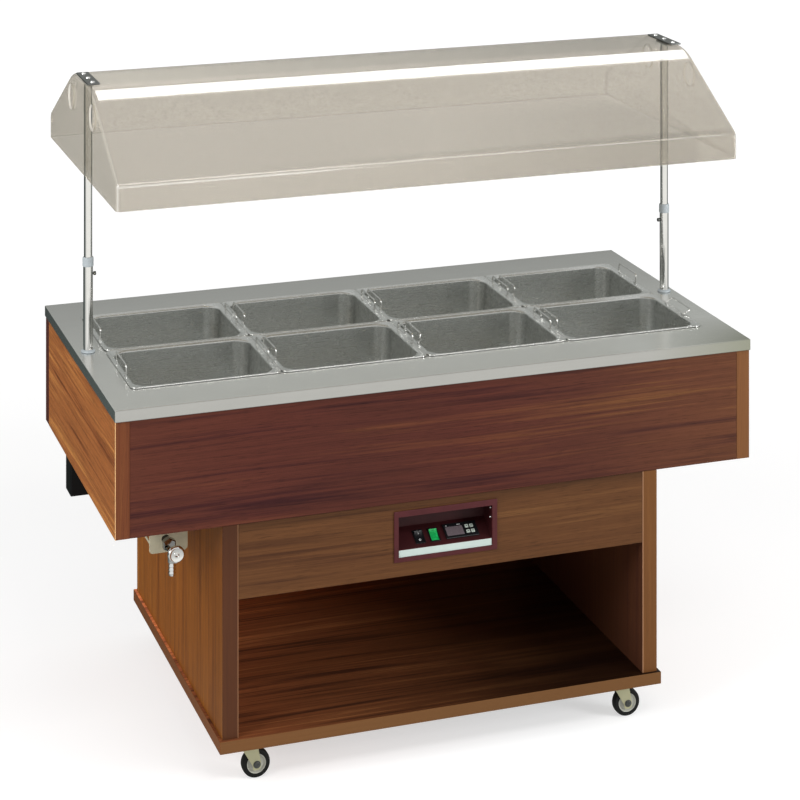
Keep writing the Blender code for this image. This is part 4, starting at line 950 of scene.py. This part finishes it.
def hood_rings(x_half, inset0, corner):
    """Closed fan of section rings from one end face to the other, rounded at the ends."""
    xs = []
    k = 6
    for j in range(k + 1):
        t = math.radians(90.0 * j / k)
        xs.append((-x_half + corner * (1 - math.sin(t)) * 1.0, inset0 + corner * (1 - math.sin(math.pi / 2 - t)) * 1.0))
    # from the end face (inset by the corner radius) round to the full section
    ends = []
    for j in range(k + 1):
        t = math.radians(90.0 * j / k)
        ends.append((-x_half + corner * (1 - math.cos(t)), inset0 + corner * (1 - math.sin(t))))
    return ends + [(x, inset0) for x in FADE] + [(-x, d) for x, d in reversed(ends)]


def hood_points(inset):
    left = hood_section(inset)
    return [(hy + y, z) for y, z in left] + [(hy - y, z) for y, z in reversed(left)]


T = 0.004
CR = 0.011
bm = bmesh.new()
shells = []
PAINTED_HIGHLIGHT = {}


def key3(p):
    return (round(p[0] * 20000), round(p[1] * 20000), round(p[2] * 20000))


for x_half, inset0, corner in ((HX, 0.0, CR), (HX - T, T, CR - T)):
    rings = []
    spots = hood_rings(x_half, inset0, corner)
    for i, (x, d) in enumerate(spots):
        pts = hood_points(d)
        rings.append([bm.verts.new((x, y, z)) for y, z in pts])
        # painted highlights on the tight bends: the lip's bend, the rounded ends and the sheet's lower edge
        at_end = min(i, len(spots) - 1 - i)
        for k, (y, z) in enumerate(pts):
            kk = min(k, len(pts) - 1 - k)
            v = 0.0
            near = y < hy
            run = FADE.get(round(x, 3), 1.0 if x < 0 else 0.0)
            if kk == 0:
                v = 0.40
            if kk == 3 and near:
                v = 0.52 * run
            if kk == 4 and near:
                v = 0.05 * run
            if at_end in (2, 3, 4):
                low, high = ((0.30, 0.50, 0.30), (0.02, 0.26, 0.02)) if near else ((0.10, 0.20, 0.10), (0.03, 0.20, 0.03))
                v = max(v, (low if kk <= 4 else high)[at_end - 2])
            if at_end < 2:
                v = 0.0 if kk > 0 else 0.3
            PAINTED_HIGHLIGHT[key3((x, y, z))] = v
    shells.append(rings)
    for a, b in zip(rings, rings[1:]):
        for k in range(len(a) - 1):
            bm.faces.new((a[k], a[k + 1], b[k + 1], b[k]))
    for end in (rings[0], rings[-1]):
        bm.faces.new(end)
# close the lower edge between the outer and inner skin
o_r, i_r = shells
for a, b, c, d in zip(o_r, o_r[1:], i_r, i_r[1:]):
    bm.faces.new((a[0], b[0], d[0], c[0]))
    bm.faces.new((a[-1], b[-1], d[-1], c[-1]))
for oe, ie in ((o_r[0], i_r[0]), (o_r[-1], i_r[-1])):
    bm.faces.new((oe[0], oe[-1], ie[-1], ie[0]))
shell = from_bm("hood_acrylic", bm)
tools = []
for s in (-1, 1):
    for dy in (-0.115, 0.115):
        tools.append(lathe("t", [(0, 0.02), (0.028, 0.02), (0.028, -0.02), (0, -0.02)], 56, (s * HX, hy + dy, 1.335), "X"))
shell = cut(shell, tools)
# the painted highlight is stored on the shell as the edge attribute
at = shell.data.attributes.new("edge", "FLOAT", "POINT")
for i, v in enumerate(shell.data.vertices):
    at.data[i].value = PAINTED_HIGHLIGHT.get(key3(v.co), 0.0)
add(shell, ACRYL, "hood", smooth=38)
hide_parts("hood_shell")

for side, s in (("left", -1), ("right", 1)):
    # painted highlight: each end hole's cut edge is lined with a pale ring
    rims = [lathe("rim%d" % k, [(0.0275, -T), (0.0275, 0.0), (0.0277, 0.0001), (0.0281, 0.0001), (0.0281, -T), (0.0275, -T)], 56, (s * HX, hy + dy, 1.335), "X" if s > 0 else "-X") for k, dy in enumerate((-0.115, 0.115))]
    add(join("hood_hole_rims_" + side, rims), HOLE_RIM_HIGHLIGHT, "hood", weighted=False)
    lo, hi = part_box("hood_plate_" + side)
    o = slab("hood_fixing_plate_" + side, fillet([(lo.x, lo.y), (hi.x, lo.y), (hi.x, hi.y), (lo.x, hi.y)], 0.004, 5), lo.z, hi.z - 0.0010, 0.0007, 2)
    add(o, DARKM, "hood")
    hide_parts("hood_plate_" + side)
    mx, my, zt = (lo.x + hi.x) / 2, (lo.y + hi.y) / 2, hi.z - 0.0010
    parts = []
    for k, dy in enumerate((-0.048, 0.0, 0.048)):
        parts.append(lathe("s%d" % k, [(0, zt + 0.0006), (0.0016, zt + 0.0006), (0.0018, zt + 0.0022), (0.0036, zt + 0.0021), (0.0052, zt + 0.0012), (0.0056, zt + 0.0001), (0.0056, zt - 0.0004), (0, zt - 0.0004)], 28, (mx, my + dy, 0)))
    sc = join("hood_plate_screws_" + side, parts)
    add(sc, CHROME, "hood")

# --------------------------------------------------------------- drain tap
k_lo, k_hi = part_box("tap_knob")
b_lo, b_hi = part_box("tap_body")
tx = (k_lo.x + k_hi.x) / 2
tz = (k_lo.z + k_hi.z) / 2
ty_front = b_lo.y
ty_back = b_hi.y
ax = (b_lo.x + b_hi.x) / 2
L = ty_back - ty_front
prof = [(0, L), (0.0088, L), (0.0092, L - 0.0006), (0.0092, L - 0.019), (0.0112, L - 0.0195), (0.0112, L - 0.0500), (0.0120, L - 0.0515), (0.0142, L - 0.0530), (0.0146, L - 0.0550),
        (0.0146, L - 0.0745), (0.0140, L - 0.0765), (0.0118, L - 0.0785), (0.0062, L - 0.0790), (0.0060, 0.0004), (0, 0)]
prof = [(r, -z) for r, z in prof][::-1]
prof = [(r, -(L + z)) for r, z in prof]
body = lathe("tap_barrel", [(r, z) for r, z in prof], 40, (ax, ty_back, tz), "Y")
hexn = lathe("hex", [(0, 0.0405), (0.0128, 0.0405), (0.0150, 0.0392), (0.0150, 0.0262), (0.0128, 0.0249), (0, 0.0249)], 6, (ax, ty_back, tz), "Y", start=math.pi / 6)
add(body, TAPM, "unit")
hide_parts("tap_body")
add(hexn, TAPM, "unit", smooth=20)
nx, ny = ax - 0.0015, V(0, -0.216, 0).y
ribs = [(0.0040, tz - 0.0120), (0.0084, tz - 0.0120), (0.0090, tz - 0.0150), (0.0090, tz - 0.0235), (0.0080, tz - 0.0255)]
z = tz - 0.0262
for k in range(3):
    ribs += [(0.0062, z), (0.0066, z - 0.0014), (0.0080, z - 0.0060), (0.0077, z - 0.0066)]
    z -= 0.0076
ribs += [(0.0066, z), (0.0066, z - 0.0030), (0.0056, z - 0.0036), (0.0040, z - 0.0034), (0.0040, tz - 0.0120)]
noz = lathe("tap_nozzle", ribs, 32, (nx, ny, 0))
add(noz, CHROME, "unit")
# knob: a cupped disc with a milled rim and a socket screw
kd = k_hi.y - k_lo.y
n = 48
bm = bmesh.new()
secs = [(0.0040, 0.0, 0), (0.0160, 0.0004, 0), (0.0181, 0.0016, 1), (0.0184, 0.0026, 1), (0.0184, 0.0078, 1), (0.0179, 0.0090, 1), (0.0163, 0.0104, 0), (0.0146, 0.0108, 0), (0.0124, 0.0100, 0), (0.0060, 0.0097, 0),
        (0.0058, 0.0102, 0), (0.0040, 0.0104, 0), (0.0034, 0.0098, 0), (0.0028, 0.0070, 0)]
rr = []
for r, y, kn in secs:
    rr.append([bm.verts.new((tx + (r - (0.0005 if kn and (k // 2) % 2 else 0)) * math.cos(2 * math.pi * k / n), k_hi.y - y, tz + (r - (0.0005 if kn and (k // 2) % 2 else 0)) * math.sin(2 * math.pi * k / n))) for k in range(n)])
for a, b in zip(rr, rr[1:]):
    for k in range(n):
        bm.faces.new((a[k], a[(k + 1) % n], b[(k + 1) % n], b[k]))
bm.faces.new(rr[0])
bm.faces.new(rr[-1])
kn = from_bm("tap_handwheel", bm)
add(kn, CHROME, "tap_knob", smooth=28)
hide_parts("tap_knob")
dress("tap_bracket", CREAM, 0.0004, 2)
dress("drain_pipe", COPPER, None)
dress("heating_element", SHEATH, None)

# --------------------------------------------------------------- control panel
c_lo, c_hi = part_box("control_bezel")
dress("control_bezel", MAROON, 0.0006, 2)
PO = V(0.0, -0.3765, 0.4445)
ANG = math.atan2(0.0282, 0.0510)
PM = Matrix.Translation(PO) @ Matrix.Rotation(ANG, 4, "X")      # the sloping plate's frame


def on_plate(x, u, n):
    return PM @ Vector((x, u, n))


def plate_frame(name, cx, cu, hw, hh, ring_w, n0, n1, mat):
    o = slab(name, rrect(hw, hh, 0.0012, 3), n0, n1, 0.0006, 2, PM @ Matrix.Translation((cx, cu, 0)))
    t = block("t", (-(hw - ring_w), -(hh - ring_w), n0 - 0.01), (hw - ring_w, hh - ring_w, n1 + 0.01), 0.0, 1, PM @ Matrix.Translation((cx, cu, 0)))
    o = cut(o, [t])
    add(o, mat, "unit")
    return o


RX = {"rocker_power": -0.0530, "rocker_heat": -0.0196}
for node, x in RX.items():
    plate_frame("switch_frame_" + node.split("_")[1], x, 0.0260, 0.0112, 0.0175, 0.0024, 0.0001, 0.0020, BLACKG)
    tip = math.radians(9.0)
    prof = [(-0.0138, 0.0004), (-0.0120, -0.0052), (0.0120, -0.0052), (0.0138, 0.0004)]
    # a dished top face between rounded ends
    top = []
    for k in range(13):
        t = k / 12.0
        y = 0.0132 - 0.0264 * t
        top.append((y, 0.0012 + 0.0020 * (abs(y) / 0.0132) ** 1.6))
    prof = fillet(prof, [0, 0.001, 0.001, 0], 3) + [(0.0137, 0.0022)] + top + [(-0.0137, 0.0022)]
    prof = [(y * math.cos(tip) - (z + 0.0030) * math.sin(tip), y * math.sin(tip) + (z + 0.0030) * math.cos(tip) - 0.0030) for y, z in prof]
    mtx = PM @ Matrix.Translation((x, 0.0260, 0.0)) @ Matrix(((0, 0, 1, 0), (1, 0, 0, 0), (0, 1, 0, 0), (0, 0, 0, 1)))
    o = slab(node + "_cap", prof, -0.0084, 0.0084, 0.0005, 2, mtx)
    add(o, GREEN if node == "rocker_heat" else BLACKG, node, smooth=30)
    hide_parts(node)
    # the usual off and on marks, a ring and a bar
    if node == "rocker_power":
        tm = PM @ Matrix.Translation((x, 0.0260, -0.0030)) @ Matrix.Rotation(tip, 4, "X") @ Matrix.Translation((0, 0, 0.0030))
        ringm = lathe("r", [(0.0016, 0.0026), (0.0024, 0.0026), (0.0024, 0.0030), (0.0016, 0.0030), (0.0016, 0.0026)], 28, (0, 0, 0))
        ringm.data.transform(tm @ Matrix.Translation((0, -0.0078, -0.0002)))
        bar = block("b", (-0.0004, 0.0056, 0.0018), (0.0004, 0.0100, 0.0026), 0.0, 1, tm)
        mk = join("rocker_power_marks", [ringm, bar])
        add(mk, WHITEINK, node, weighted=False)
    else:
        tm = PM @ Matrix.Translation((x, 0.0260, -0.0030)) @ Matrix.Rotation(tip, 4, "X") @ Matrix.Translation((0, 0, 0.0030))
        bars = [block("g%d" % k, (-0.0058, yy - 0.0002, 0.0010), (0.0058, yy + 0.0002, 0.0018 + 0.0020 * (abs(yy) / 0.0132) ** 1.6), 0.0, 1, tm) for k, yy in enumerate((-0.009, -0.006, 0.006, 0.009))]
        mk = join("rocker_heat_ribs", bars)
        add(mk, GREEN, node, weighted=False)

# thermostat: front frame with a window and keys
t_lo, t_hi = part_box("thermostat")
dress("thermostat", BLACKG, 0.0003, 2)
win = slab("thermostat_window", rrect(0.0190, 0.0115, 0.0012, 3), 0.0032, 0.0038, 0.0003, 2, PM @ Matrix.Translation((0.0275, 0.0270, 0)))
add(win, SCREEN, "unit")
led = slab("thermostat_lamp", rrect(0.0016, 0.0007, 0.0004, 3), 0.0032, 0.0037, 0.0002, 1, PM @ Matrix.Translation((0.0120, 0.0415, 0)))
add(led, WHITEINK, "unit")
bar = slab("thermostat_mark", rrect(0.0040, 0.0006, 0.0003, 3), 0.0032, 0.0036, 0.0001, 1, PM @ Matrix.Translation((0.0400, 0.0423, 0)))
add(bar, WHITEINK, "unit")
for k in range(1, 5):
    lo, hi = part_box("button_%d" % k)
    x = (lo.x + hi.x) / 2
    u = 0.0350 if k <= 2 else 0.0215
    o = slab("key_cap_%d" % k, rrect(0.0039, 0.0039, 0.0010, 4), 0.0019, 0.0046, 0.0007, 3, PM @ Matrix.Translation((x, u, 0)))
    add(o, KEYM, "button_%d" % k)
    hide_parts("button_%d" % k)
    # plain symbols: up, down, a ring and a square
    M = PM @ Matrix.Translation((x, u, 0))
    if k == 1:
        o = slab("key_mark_%d" % k, [(-0.0018, -0.0012), (0.0018, -0.0012), (0.0, 0.0016)], 0.0045, 0.00475, 0, 1, M)
    elif k == 3:
        o = slab("key_mark_%d" % k, [(-0.0018, 0.0012), (0.0, -0.0016), (0.0018, 0.0012)], 0.0045, 0.00475, 0, 1, M)
    elif k == 2:
        o = lathe("key_mark_%d" % k, [(0.0010, 0.0045), (0.0018, 0.0045), (0.0018, 0.00475), (0.0010, 0.00475), (0.0010, 0.0045)], 24, (0, 0, 0))
        o.data.transform(M)
    else:
        o = slab("key_mark_%d" % k, rrect(0.0014, 0.0014, 0.0003, 2), 0.0045, 0.00475, 0, 1, M)
    add(o, INK, "button_%d" % k, weighted=False)

# blank label strip along the recess's lower edge
yl = c_lo.y + 0.0030
strip = block("label_strip", (-0.1058, yl - 0.0008, 0.4292), (0.1021, yl + 0.0002, 0.4438), 0.0003, 1)
add(strip, LABEL, "unit")
# two small screws inside the recess's right wall, and one at its left
for k, (x, y, zz, d) in enumerate(((0.1029, 0.0120, 0.5060, -1), (0.1029, 0.0120, 0.4860, -1), (-0.1066, 0.0120, 0.5060, 1), (-0.1066, 0.0120, 0.4860, 1))):
    o = lathe("panel_screw_%d" % (k + 1), [(0, 0.0006), (0.0008, 0.0006), (0.0010, 0.0014), (0.0022, 0.0012), (0.0030, 0.0004), (0.0031, -0.0004), (0, -0.0004)], 20, (x, c_lo.y + y, zz), "X" if d > 0 else "-X")
    add(o, CHROME, "unit")

# --------------------------------------------------------------- casters
for f, s in TAG:
    tag = "%s_%s" % (f, s)
    p_lo, p_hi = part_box("caster_plate_" + tag)
    w_lo, w_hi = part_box("caster_wheel_" + tag)
    f_lo, f_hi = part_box("caster_fork_" + tag)
    sx, sy = (p_lo.x + p_hi.x) / 2, (p_lo.y + p_hi.y) / 2
    wx, wy, wz = (w_lo.x + w_hi.x) / 2, (w_lo.y + w_hi.y) / 2, (w_lo.z + w_hi.z) / 2
    pt = slab("caster_top_plate_" + tag, fillet([(p_lo.x, p_lo.y), (p_hi.x, p_lo.y), (p_hi.x, p_hi.y), (p_lo.x, p_hi.y)], 0.006, 5), p_hi.z - 0.0025, p_hi.z, 0.0005, 2)
    parts = [pt, lathe("race", [(0, p_hi.z - 0.001), (0.0205, p_hi.z - 0.0024), (0.0200, p_hi.z - 0.0034), (0.0178, p_hi.z - 0.0046), (0.0168, p_hi.z - 0.0060), (0.0166, p_lo.z + 0.0008), (0.0158, p_lo.z), (0, p_lo.z)], 32, (sx, sy, 0))]
    for dx in (-1, 1):
        for dy in (-1, 1):
            bx_, by_ = sx + dx * 0.0310, sy + dy * 0.0245
            parts.append(lathe("w", [(0, p_hi.z - 0.0022), (0.0062, p_hi.z - 0.0022), (0.0062, p_hi.z - 0.0032), (0, p_hi.z - 0.0032)], 20, (bx_, by_, 0)))
            parts.append(lathe("n", [(0, p_hi.z - 0.0030), (0.0050, p_hi.z - 0.0030), (0.0050, p_hi.z - 0.0056), (0.0044, p_hi.z - 0.0062), (0, p_hi.z - 0.0062)], 6, (bx_, by_, 0)))
    pl = join("caster_mount_" + tag, parts)
    add(pl, ZINC, "unit")
    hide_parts("caster_plate_" + tag)
    # fork: a domed head and two tapered legs, one pressing
    zt = f_hi.z
    trail = wx - sx
    parts = []
    parts.append(lathe("head", [(0, zt), (0.0158, zt), (0.0172, zt - 0.0012), (0.0172, zt - 0.0032), (0.0160, zt - 0.0044), (0, zt - 0.0050)], 36, (sx, wy, 0)))
    bolts = []
    leg = [(-0.0160, 0.0), (-0.0160, -0.0050), (trail - 0.0085, -(zt - wz) - 0.0005), (trail - 0.0085, -(zt - wz) - 0.0090), (trail + 0.0085, -(zt - wz) - 0.0090), (trail + 0.0090, -(zt - wz) + 0.006), (0.0172, -0.0080), (0.0172, 0.0)]
    leg = fillet(leg, [0.001, 0.006, 0.012, 0.0086, 0.0086, 0.010, 0.004, 0.001], 6)
    for d in (-1, 1):
        y0, y1 = (0.0112, 0.0134)
        ya, yb = sorted((d * y0, d * y1))
        # outline is in X and Z, thickness along Y
        mtx = Matrix.Translation((sx, wy, zt - 0.0030)) @ Matrix(((1, 0, 0, 0), (0, 0, 1, 0), (0, 1, 0, 0), (0, 0, 0, 1)))
        parts.append(slab("leg", leg, ya, yb, 0.0006, 2, mtx))
        bolts.append(lathe("bolt", [(0, 0), (0.0078, 0), (0.0078, 0.0009), (0.0056, 0.0010), (0.0056, 0.0028), (0.0048, 0.0036), (0.0030, 0.0036), (0.0024, 0.0028), (0, 0.0028)], 24, (0, 0, 0)))
        bolts[-1].data.transform(Matrix.Translation((wx, wy + d * 0.0133, wz)) @ Matrix.Rotation(math.radians(90 if d < 0 else -90), 4, "X"))
    add(join("caster_axle_" + tag, bolts), DARKM, "caster_" + tag, smooth=25)
    parts.append(lathe("ax", [(0, 0.0134), (0.0029, 0.0134), (0.0029, -0.0134), (0, -0.0134)], 20, (wx, wy, wz), "Y"))
    fo = join("caster_yoke_" + tag, parts)
    add(fo, ZINC, "caster_" + tag)
    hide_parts("caster_fork_" + tag)
    # wheel: rubber tread on a webbed hub
    R, hw = (w_hi.x - w_lo.x) / 2, (w_hi.y - w_lo.y) / 2
    R = 0.030
    tread = [(0.0202, hw - 0.0008), (0.0206, hw), (0.0262, hw), (0.0284, hw - 0.0010), (0.0296, hw - 0.0032), (R, hw - 0.0062), (R, -(hw - 0.0062)), (0.0296, -(hw - 0.0032)), (0.0284, -(hw - 0.0010)), (0.0262, -hw), (0.0206, -hw), (0.0202, -(hw - 0.0008)), (0.0202, hw - 0.0008)]
    ty = lathe("tyre_" + tag, tread, 56, (wx, wy, wz), "Y")
    add(ty, TYRE, "wheel_" + tag)
    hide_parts("caster_wheel_" + tag)
    hub = [(0.0033, hw - 0.0002), (0.0064, hw - 0.0002), (0.0072, hw - 0.0012), (0.0080, hw - 0.0040), (0.0100, hw - 0.0050), (0.0170, hw - 0.0046), (0.0184, hw - 0.0030), (0.0190, hw - 0.0010), (0.0201, hw - 0.0006),
           (0.0201, -(hw - 0.0006)), (0.0190, -(hw - 0.0010)), (0.0184, -(hw - 0.0030)), (0.0170, -(hw - 0.0046)), (0.0100, -(hw - 0.0050)), (0.0080, -(hw - 0.0040)), (0.0072, -(hw - 0.0012)), (0.0064, -(hw - 0.0002)), (0.0033, -(hw - 0.0002)), (0.0033, hw - 0.0002)]
    hb = lathe("hub_" + tag, hub, 48, (wx, wy, wz), "Y")
    add(hb, HUBM, "wheel_" + tag)

# --------------------------------------------------------------- stage
fl = bpy.data.meshes.new("floor")
bm = bmesh.new()
bmesh.ops.create_grid(bm, x_segments=1, y_segments=1, size=60.0)
bm.to_mesh(fl)
bm.free()
floor = bpy.data.objects.new("floor", fl)
floor.location = (0, 0, -0.0005)
bpy.context.scene.collection.objects.link(floor)
FM = Mat("pale_floor")
_n = FM.noise(FM.coords(), 0.6, 2.0)
FM.set(Base_Color=FM.ramp(_n, [(0.3, (0.54, 0.54, 0.54)), (0.7, (0.56, 0.56, 0.56))]), Roughness=0.9, Specular_IOR_Level=0.05)
FM.p.inputs["Emission Color"].default_value = (1, 1, 1, 1)
_d = FM.node("ShaderNodeVectorMath", {"operation": "LENGTH"})
FM.put(_d.inputs[0], FM.coords())
_f = FM.lerp(_d.outputs["Value"], 0.57, 0.80)
_f.node.inputs[1].default_value, _f.node.inputs[2].default_value = 1.5, 6.0
FM.put(FM.p.inputs["Emission Strength"], _f)
_l = FM.node("ShaderNodeLightPath")
_s = FM.node("ShaderNodeSeparateXYZ")
FM.put(_s.inputs[0], FM.coords())
_y = FM.lerp(_s.outputs[1], 0.0, 1.0)
_mr = _y.node
_mr.inputs[1].default_value, _mr.inputs[2].default_value = -2.6, 1.4
_e = FM.node("ShaderNodeEmission")
FM.put(_e.inputs[0], FM.ramp(_y, [(0.0, (0.92, 0.91, 0.87)), (0.35, (0.62, 0.62, 0.60)), (0.75, (0.11, 0.125, 0.12)), (1.0, (0.06, 0.075, 0.07))]))
_m = FM.node("ShaderNodeMixShader")
FM.put(_m.inputs[0], _l.outputs["Is Glossy Ray"])
FM.put(_m.inputs[1], FM.p.outputs[0])
FM.put(_m.inputs[2], _e.outputs[0])
FM.t.links.new(_m.outputs[0], FM.out.inputs["Surface"])
fl.materials.append(FM.m)
floor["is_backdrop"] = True

world = bpy.data.worlds.new("studio")
bpy.context.scene.world = world
world.use_nodes = True
wt = world.node_tree
wt.nodes.clear()


class Sky(Mat):
    """The same short hand, on the world's node tree."""

    def __init__(self, tree):
        self.t = tree


W = Sky(wt)
wo = wt.nodes.new("ShaderNodeOutputWorld")
lp = wt.nodes.new("ShaderNodeLightPath")
tc = wt.nodes.new("ShaderNodeTexCoord")
sp = wt.nodes.new("ShaderNodeSeparateXYZ")
wt.links.new(tc.outputs["Generated"], sp.inputs[0])
# light for matt surfaces: an even, slightly brighter ceiling
soft = wt.nodes.new("ShaderNodeBackground")
W.put(soft.inputs[0], W.ramp(sp.outputs[2], [(0.0, (0.50, 0.50, 0.50)), (0.5, (0.80, 0.80, 0.80)), (1.0, (0.92, 0.92, 0.92))]))
soft.inputs[1].default_value = 0.62
# what polished metal sees: a dark room behind, brighter walls in front and overhead
mirror = wt.nodes.new("ShaderNodeBackground")
back = W.lerp(sp.outputs[1], 0.0, 1.0)
back.node.inputs[1].default_value, back.node.inputs[2].default_value = -0.35, 0.55
wall = W.mix(back, (0.80, 0.80, 0.79), (0.345, 0.36, 0.34))
up = W.lerp(sp.outputs[2], 0.0, 1.0)
up.node.inputs[1].default_value, up.node.inputs[2].default_value = 0.15, 0.75
W.put(mirror.inputs[0], W.mix(up, wall, (0.72, 0.72, 0.71)))
mirror.inputs[1].default_value = 1.0
seen = wt.nodes.new("ShaderNodeBackground")
seen.inputs[0].default_value = (1, 1, 1, 1)
m1 = wt.nodes.new("ShaderNodeMixShader")
m2 = wt.nodes.new("ShaderNodeMixShader")
wt.links.new(lp.outputs["Is Glossy Ray"], m1.inputs[0])
wt.links.new(soft.outputs[0], m1.inputs[1])
wt.links.new(mirror.outputs[0], m1.inputs[2])
wt.links.new(lp.outputs["Is Camera Ray"], m2.inputs[0])
wt.links.new(m1.outputs[0], m2.inputs[1])
wt.links.new(seen.outputs[0], m2.inputs[2])
wt.links.new(m2.outputs[0], wo.inputs[0])


def area(name, at, target, w, h, watts, colour=(1, 1, 1), mirror_only=False):
    """A rectangular light facing its target, with its long side level."""
    l = bpy.data.lights.new(name, "AREA")
    l.shape, l.size, l.size_y, l.energy, l.color = "RECTANGLE", w, h, watts, colour
    o = bpy.data.objects.new(name, l)
    zax = (Vector(at) - Vector(target)).normalized()
    xax = Vector((0, 0, 1)).cross(zax).normalized()
    yax = zax.cross(xax)
    m = Matrix((xax, yax, zax)).transposed().to_4x4()
    m.translation = Vector(at)
    o.matrix_world = m
    bpy.context.scene.collection.objects.link(o)
    if mirror_only:
        o.visible_diffuse = False
        o.visible_transmission = False
    return o


lamps = [area("key_left", (-3.8, -1.6, 2.6), (0, 0, 0.6), 2.0, 1.8, 95),
         area("front_right", (3.4, -3.3, 1.7), (-0.2, 0.1, 0.35), 1.5, 1.2, 110),
         area("front_top", (0.9, -3.4, 3.9), (0.9, -0.3, 1.2), 3.4, 0.9, 55)]
# the flat metal top shows the walls of the studio, not the lamps
rest = bpy.data.collections.new("lit_by_lamps")
rest.objects.link(NODES["worktop"])
for o in PANS:
    rest.objects.link(o)
for link in rest.collection_objects:
    link.light_linking.link_state = "EXCLUDE"
for lamp in lamps:
    lamp.light_linking.receiver_collection = rest
strip = area("strip", (0.9, 1.575, 3.78), (0.9, 0.075, 1.18), 2.5, 1.40, 120, mirror_only=True)
only = bpy.data.collections.new("lit_by_strip")
only.objects.link(shell)
strip.light_linking.receiver_collection = only

# --------------------------------------------------------------- camera
cam_data = bpy.data.cameras.new("camera")
cam = bpy.data.objects.new("camera", cam_data)
bpy.context.scene.collection.objects.link(cam)
bpy.context.scene.camera = cam
CAM_Z = 2.485
cam.location = V(-1.7579, -5.2835, CAM_Z)
cam.rotation_euler = (math.pi / 2, 0.0, -math.radians(19.37))
cam_data.sensor_width = 36.0
cam_data.lens = 2471.44 / 800.0 * 36.0
cam_data.clip_start, cam_data.clip_end = 0.1, 200.0
# The lens is shifted, not tilted, as in the view being matched. The shift holds
# only at this station: anywhere else the camera is a plain one.
# The same holds for the strip that draws the white band on the hood's bend.
for owner, prop, value, other in ((cam_data, "shift_x", -0.0393, 0.0), (cam_data, "shift_y", -1.0298, 0.0), (strip.data, "energy", 120.0, 8.0)):
    dr = owner.driver_add(prop).driver
    dr.type = "SCRIPTED"
    v = dr.variables.new()
    v.name = "cz"
    v.type = "TRANSFORMS"
    v.targets[0].id = cam
    v.targets[0].transform_type = "LOC_Z"
    v.targets[0].transform_space = "WORLD_SPACE"
    dr.expression = "%r if abs(cz - %r) < 0.0005 else %r" % (value, CAM_Z, other)

sc = bpy.context.scene
sc.view_settings.view_transform = "Standard"
sc.view_settings.look = "None"

lo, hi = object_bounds()
